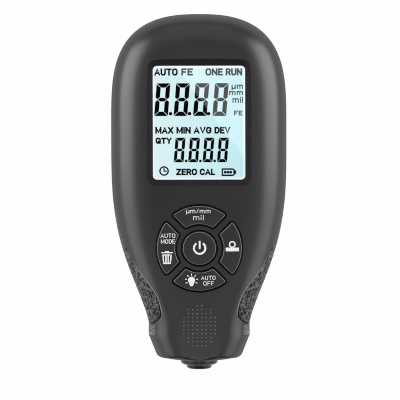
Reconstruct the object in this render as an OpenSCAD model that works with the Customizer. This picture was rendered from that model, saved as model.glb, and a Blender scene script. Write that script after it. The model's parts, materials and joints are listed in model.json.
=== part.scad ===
// Coating thickness gauge: a pocket instrument with a sprung probe under its foot.
// It lies on its back: +X to the right, +Y towards the head, +Z out of the display.
// Millimetres. The origin is on the table under the middle of the instrument.

/* [Housing] */
// Length of the housing from head to base
body_l = 112; // [106:0.2:118]
// Width across the widest line
body_w = 57; // [54:0.2:62]
// Thickness from back to front
body_t = 26; // [25:0.5:30]
// Wall of both shells
wall = 2.2; // [2:0.1:2.6]
// Wall of the base that clamps the probe
base_wall = 2.4; // [2:0.1:3]
// Height of the widest line above the base
wide_up = 75.3; // [72:0.1:80]
// Height of the waist above the base
waist_up = 11.2; // [10:0.1:12]
// Width of the waist between the grips
waist_w = 32.8; // [31:0.1:35]
// Height of the shoulders of the foot above the base
shoulder_up = 8.2; // [7:0.1:9]
// Width across the shoulders of the foot
foot_w = 32.9; // [31:0.1:35]
// Width of the base measured to its squared corners
base_w = 26.4; // [25:0.1:29]
// Corner radius of the base
base_r = 2; // [1.6:0.1:3]
// Width of the rolled front edge at the head
head_roll = 10.5; // [8:0.1:12]
// Width of the rolled front edge at the foot
foot_roll = 8.5; // [6:0.1:9]
// Width of the rolled back edge, head and foot
back_roll = 8; // [6:0.1:9]
// Setback of both faces at the base
base_roll = 1; // [0.5:0.1:2]
// Bow of the base between its corners
base_bow = 0.95; // [0.4:0.05:1.6]

/* [Window] */
// Width of the clear window
window_w = 29.4; // [28:0.1:31]
// Slope of the bezel on each side
bezel_w = 1.9; // [1:0.05:2.2]
// Height of the window's lower edge above the base
window_up = 58.16; // [57:0.02:60]
// From the window's upper edge to the crown of the head
head_margin = 17.62; // [16:0.02:19]
// Thickness of the lens
lens_t = 1.2; // [0.8:0.1:1.6]
// Width of the lens that is glued behind the wall
lens_lap = 1.9; // [1.5:0.1:2.2]
// Thickness of the adhesive frame
gasket_t = 0.2; // [0.1:0.05:0.4]
// Thickness of the display glass
glass_t = 2; // [1.6:0.1:2.4]
// Wall of the holder round the display
holder_wall = 1.2; // [1:0.1:1.4]
// Fit of the display parts in each other
display_fit = 0.15; // [0.1:0.05:0.25]

/* [Keypad] */
// Height of the keypad middle above the base
keypad_up = 36.36; // [35:0.02:38]
// Radius of the opening for the power key
power_r = 5.75; // [5.4:0.05:6]
// Inner radius of the openings round it
ring_in = 7.2; // [7.1:0.05:7.6]
// Outer radius of the openings round it
ring_out = 13.9; // [13.4:0.1:14.4]
// Width of the bars between the openings
bar_w = 2; // [1.8:0.1:2.4]
// Corner radius of the openings
ring_corner = 0.95; // [0.6:0.05:1.2]
// Gap between a key and its opening
key_gap = 0.42; // [0.3:0.02:0.5]
// Height of the keys above the face
key_proud = 0.7; // [0.4:0.1:1]
// Chamfer round the top of the keys
key_chamfer = 0.45; // [0.2:0.05:0.5]
// Lip of a key behind the wall
key_lip = 0.75; // [0.7:0.05:0.8]
// Thickness of the lip
key_lip_t = 1.1; // [0.8:0.1:1.4]
// Key travel
key_travel = 0.8; // [0.6:0.1:1]
// Running gap of the keys behind the wall
key_run = 0.1; // [0.05:0.05:0.2]

/* [Grips] */
// Height of the lower end of the grips above the base
grip_up = 10.8; // [10.4:0.1:12]
// Length of the grips
grip_l = 40.6; // [36:0.2:44]
// Thickness of the grips
grip_t = 1.2; // [0.8:0.1:1.2]
// Gap round the grips in their pockets
grip_gap = 0.1; // [0.05:0.05:0.2]
// Tail of the leaf shape, degrees round the edge
grip_tail = 52; // [44:1:56]
// Bulb of the leaf shape, degrees round the edge
grip_bulb = 24; // [18:1:28]

/* [Nubs] */
// Height of the nub field's middle above the base
nub_up = 11.8; // [10:0.1:13]
// Spacing of the nubs across and along
nub_pitch = [1.42, 1.27];
// Radius of a nub
nub_r = 0.35; // [0.2:0.05:0.4]

/* [Scoops] */
// Radius of the finger scoop under each grip
scoop_r = 3; // [2:0.1:3.4]

/* [Probe] */
// Reach of the probe below the base
probe_reach = 3.2; // [3:0.1:3.8]
// Reach of the tip below the collar when it is pushed in
tip_margin = 0.3; // [0.1:0.05:0.4]
// Radius of the collar
collar_r = 6; // [5.8:0.1:6.4]
// Radius of the collar at its end
collar_end_r = 4.9; // [4.6:0.1:5.2]
// Depth of the collar's flat seat in the base
collar_seat = 0.4; // [0.3:0.05:0.6]
// Radius of the sliding sensor
sensor_r = 4.1; // [3.6:0.05:4.2]
// Running gap of the sensor in its barrel
sensor_gap = 0.1; // [0.05:0.05:0.2]
// Radius of the barrel in the housing
barrel_r = 5.6; // [5.5:0.1:5.8]
// Length of the barrel behind the base
barrel_l = 16.8; // [15:0.1:18]
// Probe travel
probe_travel = 1; // [0.6:0.1:1.1]
// Radius of the spring wire
wire_r = 0.3; // [0.2:0.05:0.35]

/* [Battery bay] */
// Radius of a cell
cell_r = 5.25; // [5.1:0.05:5.3]
// Length of a cell with its button
cell_l = 44.5; // [43:0.5:45]
// Room for the springs
spring_room = 4.2; // [3.6:0.1:5]
// Height of the bay's lower end above the base
bay_up = 44.8; // [44:0.2:46]
// Thickness of the battery door
door_t = 2; // [1.8:0.1:2]
// Lap of the door on its seat
door_lap = 1.3; // [1.1:0.1:1.5]
// Gap round the door
door_gap = 0.2; // [0.15:0.05:0.3]
// Wall of the bay
bay_wall = 2.3; // [2:0.1:2.6]
// Roof of the bay
roof_t = 1.2; // [1:0.1:1.4]
// Thickness of the contact plates
plate_t = 0.4; // [0.3:0.1:0.6]

/* [Board and screws] */
// Thickness of the circuit board
board_t = 1.6; // [1.2:0.1:1.6]
// Room for the chips between the battery bay and the board
chip_room = 1.8; // [1.6:0.1:2]
// Height of the board's lower end above the base
board_up = 20.8; // [20:0.1:22]
// Inset of the board from the widest outline
board_inset = 4.2; // [4:0.1:5]
// Radius of the case screw shank
case_screw_r = 1.2; // [1:0.05:1.3]
// Radius of the board screw shank
board_screw_r = 0.9; // [0.8:0.05:1]
// Gap of a thread in its boss
thread_gap = 0.05; // [0.02:0.01:0.1]

/* [Hidden] */
$fn = 48;

// Lines along the length
y_top = (body_l + probe_reach) / 2;
y_base = y_top - body_l;
y_wide = y_base + wide_up;
y_waist = y_base + waist_up;
y_shoulder = y_base + shoulder_up;
window_h = body_l - head_margin - window_up;
y_window = y_base + window_up + window_h / 2;
y_keys = y_base + keypad_up;
y_tip = y_base - probe_reach;

// Levels from the back: the cells, the roof of their bay, then the board
part_z = body_t / 2;
cell_z = door_t + 0.3 + cell_r;
bay_roof = cell_z + cell_r + 0.2;
board_z = bay_roof + roof_t + chip_room;
board_top = board_z + board_t;

// Levels from the front: the wall, the lens, the display glass and the keys
ceil_z = body_t - wall;
lens_z = ceil_z - gasket_t - lens_t;
glass_z = lens_z - glass_t;
lip_z = ceil_z - key_run - key_lip_t;

// The domes take about half of the room between their mat and the keys
mat_t = 0.8;
dome_share = 0.476;
dome_h = (lip_z - board_top - mat_t) * dome_share;
dome_top = board_top + mat_t + dome_h;

// Curves of the housing
taper_in = 1.45;
taper_out = 4.2;
head_power = [2.55, 3.46];
roll_power = 2.2;
head_n = 13;
side_n = 16;
scoop_n = 4;
arc_n = 4;
outer_n = 8;
inner_n = 5;

// Display parts
lens_size = [window_w + 2 * lens_lap, window_h + 2 * lens_lap];
glass_size = [window_w + 3, window_h + 4];
holder_size = glass_size + 2 * [holder_wall + display_fit, holder_wall + display_fit];
light_inset = 0.5;
zebra_w = 2.4;
zebra_inset = 3.5;

// Screw places, right side
head_boss = [14, y_top - 9.3];
foot_boss = [10, y_base + 6.5];
board_boss_up = [18.6, y_base + board_up + 30.6];
board_boss_low = [12.5, y_base + board_up + 2.1];
case_boss_r = 2.8;
board_boss_r = 2.3;
screw_seat = 6.5;
case_screw_top = ceil_z - 3.3;
board_screw_top = ceil_z - 1.7;

// Battery bay
cell_x = cell_r + 0.3;
bay_w = 2 * cell_x + 2 * cell_r + 0.4;
bay_l = cell_l + spring_room + 2 * plate_t;
bay_y = y_base + bay_up;
door_w = bay_w + 2 * door_lap - 2 * door_gap;
door_y = bay_y - door_lap + door_gap;
door_end = bay_y + bay_l + door_lap - door_gap;
seat_gap = 0.1;

// Probe
collar_reach = probe_reach - probe_travel - tip_margin;
step_y = y_base + base_wall + 0.4;
flange_t = 1.8;
sensor_in_r = barrel_r - 0.85;
flange_r = sensor_in_r - 0.12;
cap_y = y_base + barrel_l;
spigot_l = 1.4;

function lerp(a, b, t) = a + (b - a) * t;
function mirrored(p) = [-p[0], p[1]];

// Half-width of a rail on the sides, set in by h at the head and by f at the foot
function side_x(y, h, f) =
    let (t = max(0, min(1, (y - y_waist) / (y_wide - y_waist))))
    lerp(waist_w / 2 - f, body_w / 2 - h, 1 - pow(1 - pow(t, taper_in), taper_out));

// Right half of a rail, from the crown of the head to the middle of the base:
// a superellipse head, the tapered side, the scoop, the foot and its rounded corner
function half_rail(h, f, b) =
    let (slope = (foot_w - base_w) / 2 / shoulder_up,
         turn = atan(slope),
         r = max(0.6, base_r - f / 4),
         y0 = y_base + b,
         y1 = y0 + base_bow,
         cx = base_w / 2 - f + slope * (b + base_bow + r * (1 - sin(turn))) - r * cos(turn))
    concat(
        [for (i = [0 : head_n - 1]) let (a = 90 * i / head_n)
            [(body_w / 2 - h) * pow(sin(a), 2 / head_power[0]),
             y_wide + (y_top - h - y_wide) * pow(cos(a), 2 / head_power[1])]],
        [for (i = [0 : side_n - 1]) let (y = lerp(y_wide, y_waist, i / side_n))
            [side_x(y, h, f), y]],
        [for (i = [0 : scoop_n]) let (t = i / scoop_n)
            [lerp(waist_w, foot_w, (1 - cos(180 * t)) / 2) / 2 - f, lerp(y_waist, y_shoulder, t)]],
        [for (i = [0 : arc_n]) let (a = lerp(turn, 90, i / arc_n))
            [cx + r * cos(a), y1 + r - r * sin(a)]],
        [for (t = [0.75, 0.5, 0.25, 0]) [cx * t, lerp(y0, y1, t * t)]]
    );

// Closed rail: the right half, then its mirror image back up
function rail(h, f, b) =
    let (p = half_rail(h, f, b), n = len(p) - 1)
    concat(p, [for (i = [n - 1 : -1 : 1]) mirrored(p[i])]);

// Rings that climb from an edge rail to a face rail with a superellipse roll
function rolled(edge, face, height, n) =
    [for (j = [0 : n]) let (a = 90 * j / n, c = pow(cos(a), 2 / roll_power), s = pow(sin(a), 2 / roll_power))
        [for (i = [0 : len(edge) - 1])
            concat(lerp(face[i], edge[i], c), [height * s])]];

function reversed(v) = [for (i = [len(v) - 1 : -1 : 0]) v[i]];

// Solid between a stack of closed mirrored rings, closed by flat strips at both ends
module lofted(rings) {
    k = len(rings[0]);
    n = len(rings) - 1;
    points = [for (r = rings) for (p = r) p];
    skin = [for (j = [0 : n - 1]) for (i = [0 : k - 1]) let (m = (i + 1) % k)
        for (f = [[j * k + i, j * k + m, (j + 1) * k + m], [j * k + i, (j + 1) * k + m, (j + 1) * k + i]]) f];
    strip = [for (i = [0 : k / 2 - 1])
        i == 0 ? [0, 1, k - 1] : i == k / 2 - 1 ? [i, i + 1, i + 2] : [i, i + 1, k - i - 1, k - i]];
    faces = concat(skin, [for (f = strip) [for (v = f) n * k + v]], [for (f = strip) reversed(f)]);
    polyhedron(points, faces);
}

// One hollow shell standing on the parting plane, open there
module shell(h, f) {
    outer = rolled(rail(0, 0, 0), rail(h, f, base_roll), body_t - part_z, outer_n);
    inner = rolled(rail(wall, wall, base_wall), rail(h, f, base_wall + base_roll),
                   body_t - part_z - wall, inner_n);
    lofted(concat(reversed(inner), outer));
}

// Leaf outline of a grip: half its angle round the edge at a share w of its length
function leaf(w, grow) =
    let (tail = grip_tail * sqrt(max(0, 1 - w)),
         bulb = grip_bulb * exp(-pow((w - 0.23) / 0.19, 2)),
         tip = sqrt(1 - pow(1 - min(w, 0.1) / 0.1, 2)))
    max(6, (tail + bulb) * tip) + grow;

// A point on the right side of the housing, sunk by d, at an angle a from the parting line
function side_point(y, a, d) =
    let (h = a < 0 ? back_roll : head_roll,
         f = a < 0 ? back_roll : foot_roll,
         inner = side_x(y, h, f),
         reach = side_x(y, 0, 0) - inner - d,
         c = pow(cos(a), 2 / roll_power),
         s = pow(abs(sin(a)), 2 / roll_power))
    [inner + reach * c, y, part_z + sign(a) * (body_t - part_z - d) * s];

// Curved leaf between two depths below the housing's surface
module leaf_patch(top, bottom, grow, stretch) {
    n = 18;
    m = 8;
    y0 = y_base + grip_up - stretch;
    l = grip_l + 2 * stretch;
    sheet = [for (d = [top, bottom]) for (i = [0 : n]) for (j = [0 : m])
        let (w = (1 - cos(180 * i / n)) / 2, a = leaf(w, grow))
        side_point(y0 + l * w, lerp(-a, a, j / m), d)];
    size = (n + 1) * (m + 1);
    function at(layer, i, j) = layer * size + i * (m + 1) + j;
    cells = [for (i = [0 : n - 1]) for (j = [0 : m - 1]) for (layer = [0, 1])
        let (a = at(layer, i, j), b = at(layer, i + 1, j),
             c = at(layer, i + 1, j + 1), d = at(layer, i, j + 1))
        for (f = layer == 0 ? [[a, d, c], [a, c, b]] : [[a, c, d], [a, b, c]]) f];
    edges = concat(
        [for (i = [0 : n - 1]) [at(0, i, 0), at(0, i + 1, 0), at(1, i + 1, 0), at(1, i, 0)]],
        [for (i = [0 : n - 1]) [at(0, i + 1, m), at(0, i, m), at(1, i, m), at(1, i + 1, m)]],
        [for (j = [0 : m - 1]) [at(0, 0, j + 1), at(0, 0, j), at(1, 0, j), at(1, 0, j + 1)]],
        [for (j = [0 : m - 1]) [at(0, n, j), at(0, n, j + 1), at(1, n, j + 1), at(1, n, j)]]
    );
    split = [for (q = edges) for (f = [[q[0], q[1], q[2]], [q[0], q[2], q[3]]]) f];
    polyhedron(sheet, concat(cells, split));
}

module grip_pockets() {
    for (side = [0, 1])
        mirror([side, 0, 0]) leaf_patch(-1, grip_t + grip_gap, grip_gap * 6, grip_gap);
}

// Wire of radius r along a list of points, with flat square ends
module wire(path, r, sides) {
    n = len(path) - 1;
    function heading(i) = let (d = path[min(n, i + 1)] - path[max(0, i - 1)]) d / norm(d);
    function across(i) =
        let (t = heading(i), u = abs(t[2]) < 0.8 ? [0, 0, 1] : [1, 0, 0], c = cross(t, u)) c / norm(c);
    points = [for (i = [0 : n]) let (a = across(i), b = cross(heading(i), a))
        for (k = [0 : sides - 1]) path[i] + r * (cos(360 * k / sides) * a + sin(360 * k / sides) * b)];
    skin = [for (i = [0 : n - 1]) for (k = [0 : sides - 1]) let (m = (k + 1) % sides)
        for (f = [[i * sides + k, (i + 1) * sides + k, (i + 1) * sides + m],
                  [i * sides + k, (i + 1) * sides + m, i * sides + m]]) f];
    ends = [[for (k = [0 : sides - 1]) k], [for (k = [sides - 1 : -1 : 0]) n * sides + k]];
    polyhedron(points, concat(skin, ends));
}

// Coil along Y from y0 to y1, its radius running from r0 to r1
function coil(x, z, y0, y1, r0, r1, turns, steps) =
    [for (i = [0 : turns * steps]) let (t = i / (turns * steps), a = 360 * i / steps, r = lerp(r0, r1, t))
        [x + r * cos(a), lerp(y0, y1, t), z + r * sin(a)]];

module rounded(size, r) {
    offset(r = r) square(size - [2 * r, 2 * r], center = true);
}

module box(x0, x1, y0, y1, z0, z1) {
    translate([x0, y0, z0]) cube([x1 - x0, y1 - y0, z1 - z0]);
}

module post(p, r, z0, z1) {
    for (s = [-1, 1])
        translate([s * p[0], p[1], z0]) cylinder(r = r, h = z1 - z0);
}

// A body of revolution along the probe, from a profile of [radius, y]
module turned(profile) {
    translate([0, 0, part_z]) rotate([-90, 0, 0]) rotate_extrude() polygon(profile);
}

// Opening of one ring key, facing the head, then turned to its place
module ring_shape(inset) {
    offset(delta = -inset) offset(r = ring_corner) offset(delta = -ring_corner)
        intersection() {
            difference() {
                circle(r = ring_out, $fn = 96);
                circle(r = ring_in, $fn = 96);
            }
            polygon([[0, bar_w / sqrt(2)], [20, 20 + bar_w / sqrt(2)], [-20, 20 + bar_w / sqrt(2)]]);
        }
}

module key_openings() {
    translate([0, y_keys, ceil_z - 1]) {
        cylinder(r = power_r, h = wall + 2);
        for (a = [0 : 90 : 270])
            rotate(a) linear_extrude(wall + 2) ring_shape(0);
    }
}

// Raised dots in an oval field under the keypad
module nubs() {
    rows = [1, 3, 3, 4, 4, 4, 4, 4, 3, 3, 2];
    for (i = [0 : len(rows) - 1], j = [0 : rows[i] - 1], s = [-1, 1])
        translate([s * (j + 0.5) * nub_pitch[0], y_base + nub_up + (5 - i) * nub_pitch[1], body_t - 0.1])
            sphere(r = nub_r, $fn = 16);
}

// Saddle that holds the probe barrel in one shell, drawn above the parting plane
module saddle() {
    y = y_base + 11;
    difference() {
        box(-8, 8, y, y + 1.6, part_z + 0.05, ceil_z + 0.6);
        translate([0, y - 1, part_z]) rotate([-90, 35, 0]) cylinder(r = barrel_r + 0.05, h = 4);
    }
}

// Hole for the barrel's neck, with a flat seat for its collar and one for its flange
module probe_hole() {
    translate([0, y_base - 1, part_z]) rotate([-90, 35, 0]) {
        cylinder(r = barrel_r - 0.5, h = base_wall + 4);
        cylinder(r = collar_r + 0.15, h = collar_seat + 1);
    }
    translate([0, y_base + base_wall, part_z]) rotate([-90, 35, 0])
        cylinder(r = collar_r + 0.15, h = 3);
}

// Hollows for the fingers between the grips and the foot
module scoops() {
    for (s = [-1, 1])
        translate([s * (waist_w / 2 + scoop_r / 5), (y_waist + y_shoulder) / 2, lerp(part_z, body_t, 0.63)])
            sphere(r = scoop_r);
}

module front_shell() {
    color("DimGray")
    difference() {
        union() {
            translate([0, 0, part_z]) shell(head_roll, foot_roll);
            post(head_boss, case_boss_r, part_z, ceil_z - 1.2);
            post(foot_boss, case_boss_r, part_z, ceil_z - 1.2);
            post(board_boss_up, board_boss_r, board_top, ceil_z + 0.5);
            post(board_boss_low, board_boss_r, board_top, ceil_z + 0.5);
            saddle();
            nubs();
        }
        hull() {
            translate([0, y_window, ceil_z - 0.1]) linear_extrude(0.1) rounded([window_w, window_h], 1.3);
            translate([0, y_window, body_t]) linear_extrude(0.1)
                rounded([window_w + 2 * bezel_w, window_h + 2 * bezel_w], 2.6);
        }
        translate([0, y_window, board_z]) linear_extrude(ceil_z - board_z)
            square(lens_size + [0.3, 0.3], center = true);
        translate([0, y_window, board_z]) linear_extrude(lens_z + 0.2 - board_z)
            square(holder_size + [0.5, 0.5], center = true);
        key_openings();
        probe_hole();
        grip_pockets();
        scoops();
        for (p = [head_boss, foot_boss])
            post(p, case_screw_r + thread_gap, part_z - 1, case_screw_top + 0.5);
        for (p = [board_boss_up, board_boss_low])
            post(p, board_screw_r + thread_gap, board_top - 1, board_screw_top + 0.5);
    }
}

module rear_shell() {
    color("DimGray")
    difference() {
        union() {
            translate([0, 0, part_z]) mirror([0, 0, 1]) shell(back_roll, back_roll);
            box(-bay_w / 2 - bay_wall, bay_w / 2 + bay_wall, bay_y - bay_wall, bay_y + bay_l + bay_wall,
                wall / 2, bay_roof + roof_t);
            post(head_boss, case_boss_r + 0.6, wall + 1, part_z);
            post(foot_boss, case_boss_r + 0.6, wall + 1, part_z);
            translate([0, 0, body_t]) mirror([0, 0, 1]) saddle();
        }
        box(-bay_w / 2, bay_w / 2, bay_y, bay_y + bay_l, -1, bay_roof);
        box(-door_w / 2 - door_gap, door_w / 2 + door_gap, door_y - door_gap, door_end + door_gap,
            -1, door_t + seat_gap);
        translate([0, door_end - door_t / 2, door_t / 2]) rotate([0, 90, 0])
            cylinder(r = 0.55, h = door_w + 2 * door_gap + 3, center = true);
        translate([0, bay_y - bay_wall - 1, bay_roof - 2]) contact_slots();
        probe_hole();
        grip_pockets();
        for (p = [head_boss, foot_boss]) {
            post(p, case_screw_r + 0.15, 0, part_z + 1);
            post(p, 2.5, -1, screw_seat);
        }
    }
}

// Slots in the bay's lower end wall for the two contact tabs
module contact_slots() {
    for (s = [-1, 1])
        box(s * cell_x - 1.6, s * cell_x + 1.6, 0, bay_wall + 2, 0, 4);
}

module left_grip() {
    color("SlateGray") mirror([1, 0, 0]) leaf_patch(0, grip_t, 0, 0);
}

module right_grip() {
    color("SlateGray") leaf_patch(0, grip_t, 0, 0);
}

module battery_door() {
    axis_y = door_end - door_t / 2;
    color("Gray")
    difference() {
        union() {
            box(-door_w / 2, door_w / 2, door_y, axis_y, 0, door_t);
            translate([0, axis_y, door_t / 2]) rotate([0, 90, 0])
                cylinder(r = door_t / 2, h = door_w, center = true);
            translate([0, axis_y, door_t / 2]) rotate([0, 90, 0])
                cylinder(r = 0.45, h = door_w + 2.4, center = true);
        }
        for (s = [-1, 1])
            box(s * 4.5 - 0.3, s * 4.5 + 0.3, door_y - 1, door_y + 8, -1, door_t + 1);
        for (i = [0 : 2])
            translate([0, door_y + 3 + 1.6 * i, 0]) rotate([0, 90, 0])
                cylinder(r = 0.45, h = 6, center = true);
    }
}

module window_lens() {
    color("LightCyan", 0.4)
        translate([0, y_window, lens_z]) linear_extrude(lens_t) rounded(lens_size, 0.8);
}

module lens_gasket() {
    color("Black")
    translate([0, y_window, ceil_z - gasket_t]) linear_extrude(gasket_t)
        difference() {
            rounded(lens_size, 0.8);
            rounded([window_w + 0.4, window_h + 0.4], 1.4);
        }
}

module lcd_glass() {
    color("PaleTurquoise")
        translate([0, y_window, glass_z + glass_t / 2])
            cube([glass_size[0], glass_size[1], glass_t], center = true);
}

// Light guide that fills the room between board and glass, above the contact strip
module lcd_backlight() {
    y = y_window - glass_size[1] / 2;
    color("White")
        box(-glass_size[0] / 2 + light_inset, glass_size[0] / 2 - light_inset,
            y + zebra_w + 2 * light_inset, y + glass_size[1] - light_inset, board_top, glass_z);
}

module zebra_strip() {
    y = y_window - glass_size[1] / 2;
    color("DarkGray")
        box(-glass_size[0] / 2 + zebra_inset, glass_size[0] / 2 - zebra_inset,
            y + light_inset, y + light_inset + zebra_w, board_top, glass_z);
}

module lcd_holder() {
    color("WhiteSmoke")
    translate([0, y_window, board_top]) linear_extrude(glass_z + glass_t - 0.2 - board_top)
        difference() {
            square(holder_size, center = true);
            square(glass_size + 2 * [display_fit, display_fit], center = true);
        }
}

module main_board() {
    color("DarkGreen")
    difference() {
        translate([0, 0, board_z]) linear_extrude(board_t)
            intersection() {
                polygon(rail(board_inset, board_inset, board_inset));
                translate([-body_w / 2, y_base + board_up]) square([body_w, body_l]);
            }
        post(head_boss, case_boss_r + 0.3, board_z - 1, board_top + 1);
        post(board_boss_up, board_screw_r + 0.15, board_z - 1, board_top + 1);
        post(board_boss_low, board_screw_r + 0.15, board_z - 1, board_top + 1);
    }
}

// Processor, converter, crystal and smaller parts on the back of the board
module board_chips() {
    color("Black")
    for (c = [[0, 48, 9, 9, 1.4], [0, 64, 6, 5, 1.2], [-14, 50, 4, 3, 1.3], [14, 46, 3, 5, 1.1],
              [-16, 38, 3, 2, 0.9], [16, 58, 2, 3, 0.9], [-9, 7, 5, 4, 1.3], [8, 7, 4, 3, 1.2]])
        translate([c[0], y_base + board_up + c[1], board_z - c[4]])
            linear_extrude(c[4]) square([c[2], c[3]], center = true);
}

module buzzer() {
    color("Black")
    difference() {
        translate([0, y_keys, board_z - 3]) cylinder(r = 6, h = 3);
        translate([0, y_keys, board_z - 4]) cylinder(r = 0.8, h = 2);
    }
}

// Places of the five domes, power first
function dome_places() =
    let (r = (ring_in + ring_out) / 2)
    concat([[0, 0]], [for (a = [0 : 90 : 270]) [-r * sin(a), r * cos(a)]]);

// Silicone mat with five domes, hollow below so that they can buckle by the key travel
module dome_mat() {
    color("LightGray")
    translate([0, y_keys, board_top])
        difference() {
            union() {
                cylinder(r = ring_out + 0.8, h = mat_t);
                for (p = dome_places())
                    translate([p[0], p[1], mat_t]) {
                        cylinder(r1 = 3, r2 = 2, h = 0.7 * dome_h);
                        cylinder(r = 1.6, h = dome_h);
                    }
            }
            for (p = dome_places())
                translate([p[0], p[1], -1]) cylinder(r = 1.9, h = 1 + key_travel + 0.1);
        }
}

module power_key() {
    r = power_r - key_gap;
    color("DarkSlateGray")
    translate([0, y_keys, 0]) {
        translate([0, 0, ceil_z - 0.5]) cylinder(r = r, h = body_t + key_proud - key_chamfer - ceil_z + 0.5);
        translate([0, 0, body_t + key_proud - key_chamfer])
            cylinder(r1 = r, r2 = r - key_chamfer, h = key_chamfer);
        translate([0, 0, lip_z]) cylinder(r = r + key_lip, h = key_lip_t);
        translate([0, 0, dome_top]) cylinder(r = 1.8, h = lip_z - dome_top + 0.5);
    }
}

// One ring key, facing the head: its arcs and straight sides are chamfered at the top
module ring_key(turn) {
    top = body_t + key_proud;
    wedge = (bar_w / 2 + key_gap) * sqrt(2);
    a = ring_in + key_gap;
    b = ring_out - key_gap;
    c = key_chamfer;
    color("DarkSlateGray")
    translate([0, y_keys, 0]) rotate(turn) {
        intersection() {
            translate([0, 0, ceil_z - 0.5]) linear_extrude(top - ceil_z + 0.5) ring_shape(key_gap);
            rotate_extrude($fn = 96)
                polygon([[a, 0], [b, 0], [b, top - c], [b - c, top], [a + c, top], [a, top - c]]);
            hull() {
                translate([0, 0, ceil_z - 1]) linear_extrude(top - c - ceil_z + 1)
                    polygon([[0, wedge], [20, 20 + wedge], [-20, 20 + wedge]]);
                translate([0, c * sqrt(2), top - 0.001]) linear_extrude(0.001)
                    polygon([[0, wedge], [20, 20 + wedge], [-20, 20 + wedge]]);
            }
        }
        translate([0, 0, lip_z]) linear_extrude(key_lip_t) ring_shape(key_gap - key_lip);
        translate([0, (ring_in + ring_out) / 2, dome_top]) cylinder(r = 1.8, h = lip_z - dome_top + 0.5);
    }
}

module units_key() {
    ring_key(0);
}

module mode_key() {
    ring_key(90);
}

module light_key() {
    ring_key(180);
}

module zero_key() {
    ring_key(270);
}

// Sleeve clamped in the base: a collar outside, a neck in the wall, a barrel behind it
module probe_barrel() {
    y_end = y_base - collar_reach;
    neck = barrel_r - 0.6;
    color("Silver")
    turned([[sensor_r + sensor_gap, y_end], [collar_end_r, y_end], [collar_r - 0.3, y_end + 0.35],
            [collar_r, y_end + 0.75], [collar_r, y_base + collar_seat],
            [neck, y_base + collar_seat], [neck, y_base + base_wall],
            [collar_r, y_base + base_wall], [collar_r, y_base + base_wall + 1.5],
            [barrel_r, y_base + base_wall + 1.5], [barrel_r, cap_y], [sensor_in_r, cap_y],
            [sensor_in_r, step_y], [sensor_r + sensor_gap, step_y]]);
}

// Sliding sensor with a flange that stops on the barrel's step
module probe_sensor() {
    color("Gainsboro")
    turned([[1.6, y_tip], [sensor_r - 0.7, y_tip], [sensor_r - 0.2, y_tip + 0.2],
            [sensor_r, y_tip + 0.7], [sensor_r, step_y], [flange_r, step_y],
            [flange_r, step_y + flange_t], [2.6, step_y + flange_t], [2.6, step_y + flange_t + 5.5],
            [0, step_y + flange_t + 5.5], [0, y_tip + 4], [1.6, y_tip + 4]]);
}

// Hard pole of the sensor, flush with its end
module probe_pole() {
    color("DimGray")
    turned([[0, y_tip], [1.2, y_tip], [1.6, y_tip + 0.4], [1.6, y_tip + 4], [0, y_tip + 4]]);
}

module probe_spring() {
    y0 = step_y + flange_t + wire_r;
    y1 = cap_y - spigot_l - wire_r;
    color("Silver") wire(coil(0, part_z, y0, y1, 3.7, 3.7, 6, 12), wire_r, 6);
}

module probe_cap() {
    color("DarkSlateGray")
    turned([[1.05, cap_y - spigot_l], [sensor_in_r - 0.05, cap_y - spigot_l], [sensor_in_r - 0.05, cap_y],
            [barrel_r, cap_y], [barrel_r, cap_y + 1.2], [1.05, cap_y + 1.2]]);
}

// Lead from the end cap up to the back of the board
module probe_lead() {
    y0 = cap_y - 0.5;
    y1 = y_base + board_up + 3;
    path = [for (i = [0 : 8]) let (t = i / 8, u = 1 - t)
        u * u * [0, y0, part_z] + 2 * u * t * [0, y1, part_z - 1] + t * t * [0, y1, board_z - 0.15]];
    color("Firebrick") wire(path, 0.9, 8);
}

module cell(x, y, flip) {
    translate([x, y + cell_l / 2, cell_z]) rotate([flip ? 90 : -90, 0, 0]) translate([0, 0, -cell_l / 2]) {
        cylinder(r = cell_r, h = cell_l - 0.8);
        cylinder(r = 1.9, h = cell_l);
    }
}

module battery_a() {
    color("SteelBlue") cell(-cell_x, bay_y + plate_t + spring_room, false);
}

module battery_b() {
    color("SteelBlue") cell(cell_x, bay_y + plate_t, true);
}

// Plate at the head end that joins both cells
module link_contact() {
    color("Silver")
        box(-bay_w / 2 + 0.5, bay_w / 2 - 0.5, bay_y + bay_l - plate_t, bay_y + bay_l,
            cell_z - 4.5, cell_z + 4.5);
}

// Plate at the lower end with a tab through the wall up to the board
module end_contact(s) {
    color("Silver") {
        box(s * cell_x - 4.4, s * cell_x + 4.4, bay_y, bay_y + plate_t, cell_z - 4.5, cell_z + 4.5);
        box(s * cell_x - 1.4, s * cell_x + 1.4, bay_y - bay_wall - 0.6, bay_y + plate_t,
            bay_roof - 1.8, bay_roof - 1.8 + plate_t);
        box(s * cell_x - 1.4, s * cell_x + 1.4, bay_y - bay_wall - 0.6, bay_y - bay_wall - 0.6 + plate_t,
            bay_roof - 1.8, board_z);
    }
}

module positive_contact() {
    end_contact(1);
}

module negative_contact() {
    end_contact(-1);
}

module battery_springs() {
    y0 = bay_y + plate_t;
    y1 = bay_y + bay_l - plate_t;
    color("Silver") {
        wire(coil(-cell_x, cell_z, y0 + 0.35, y0 + spring_room - 0.35, 3.6, 1.8, 4, 10), 0.35, 6);
        wire(coil(cell_x, cell_z, y1 - 0.35, y1 - spring_room + 0.35, 3.6, 1.8, 4, 10), 0.35, 6);
    }
}

module case_screws() {
    color("DarkGray")
    for (p = [head_boss, foot_boss])
        difference() {
            union() {
                post(p, case_screw_r, screw_seat - 0.5, case_screw_top);
                post(p, 2.2, screw_seat - 1.6, screw_seat);
            }
            post(p, 0.9, screw_seat - 2.5, screw_seat - 0.6);
        }
}

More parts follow.
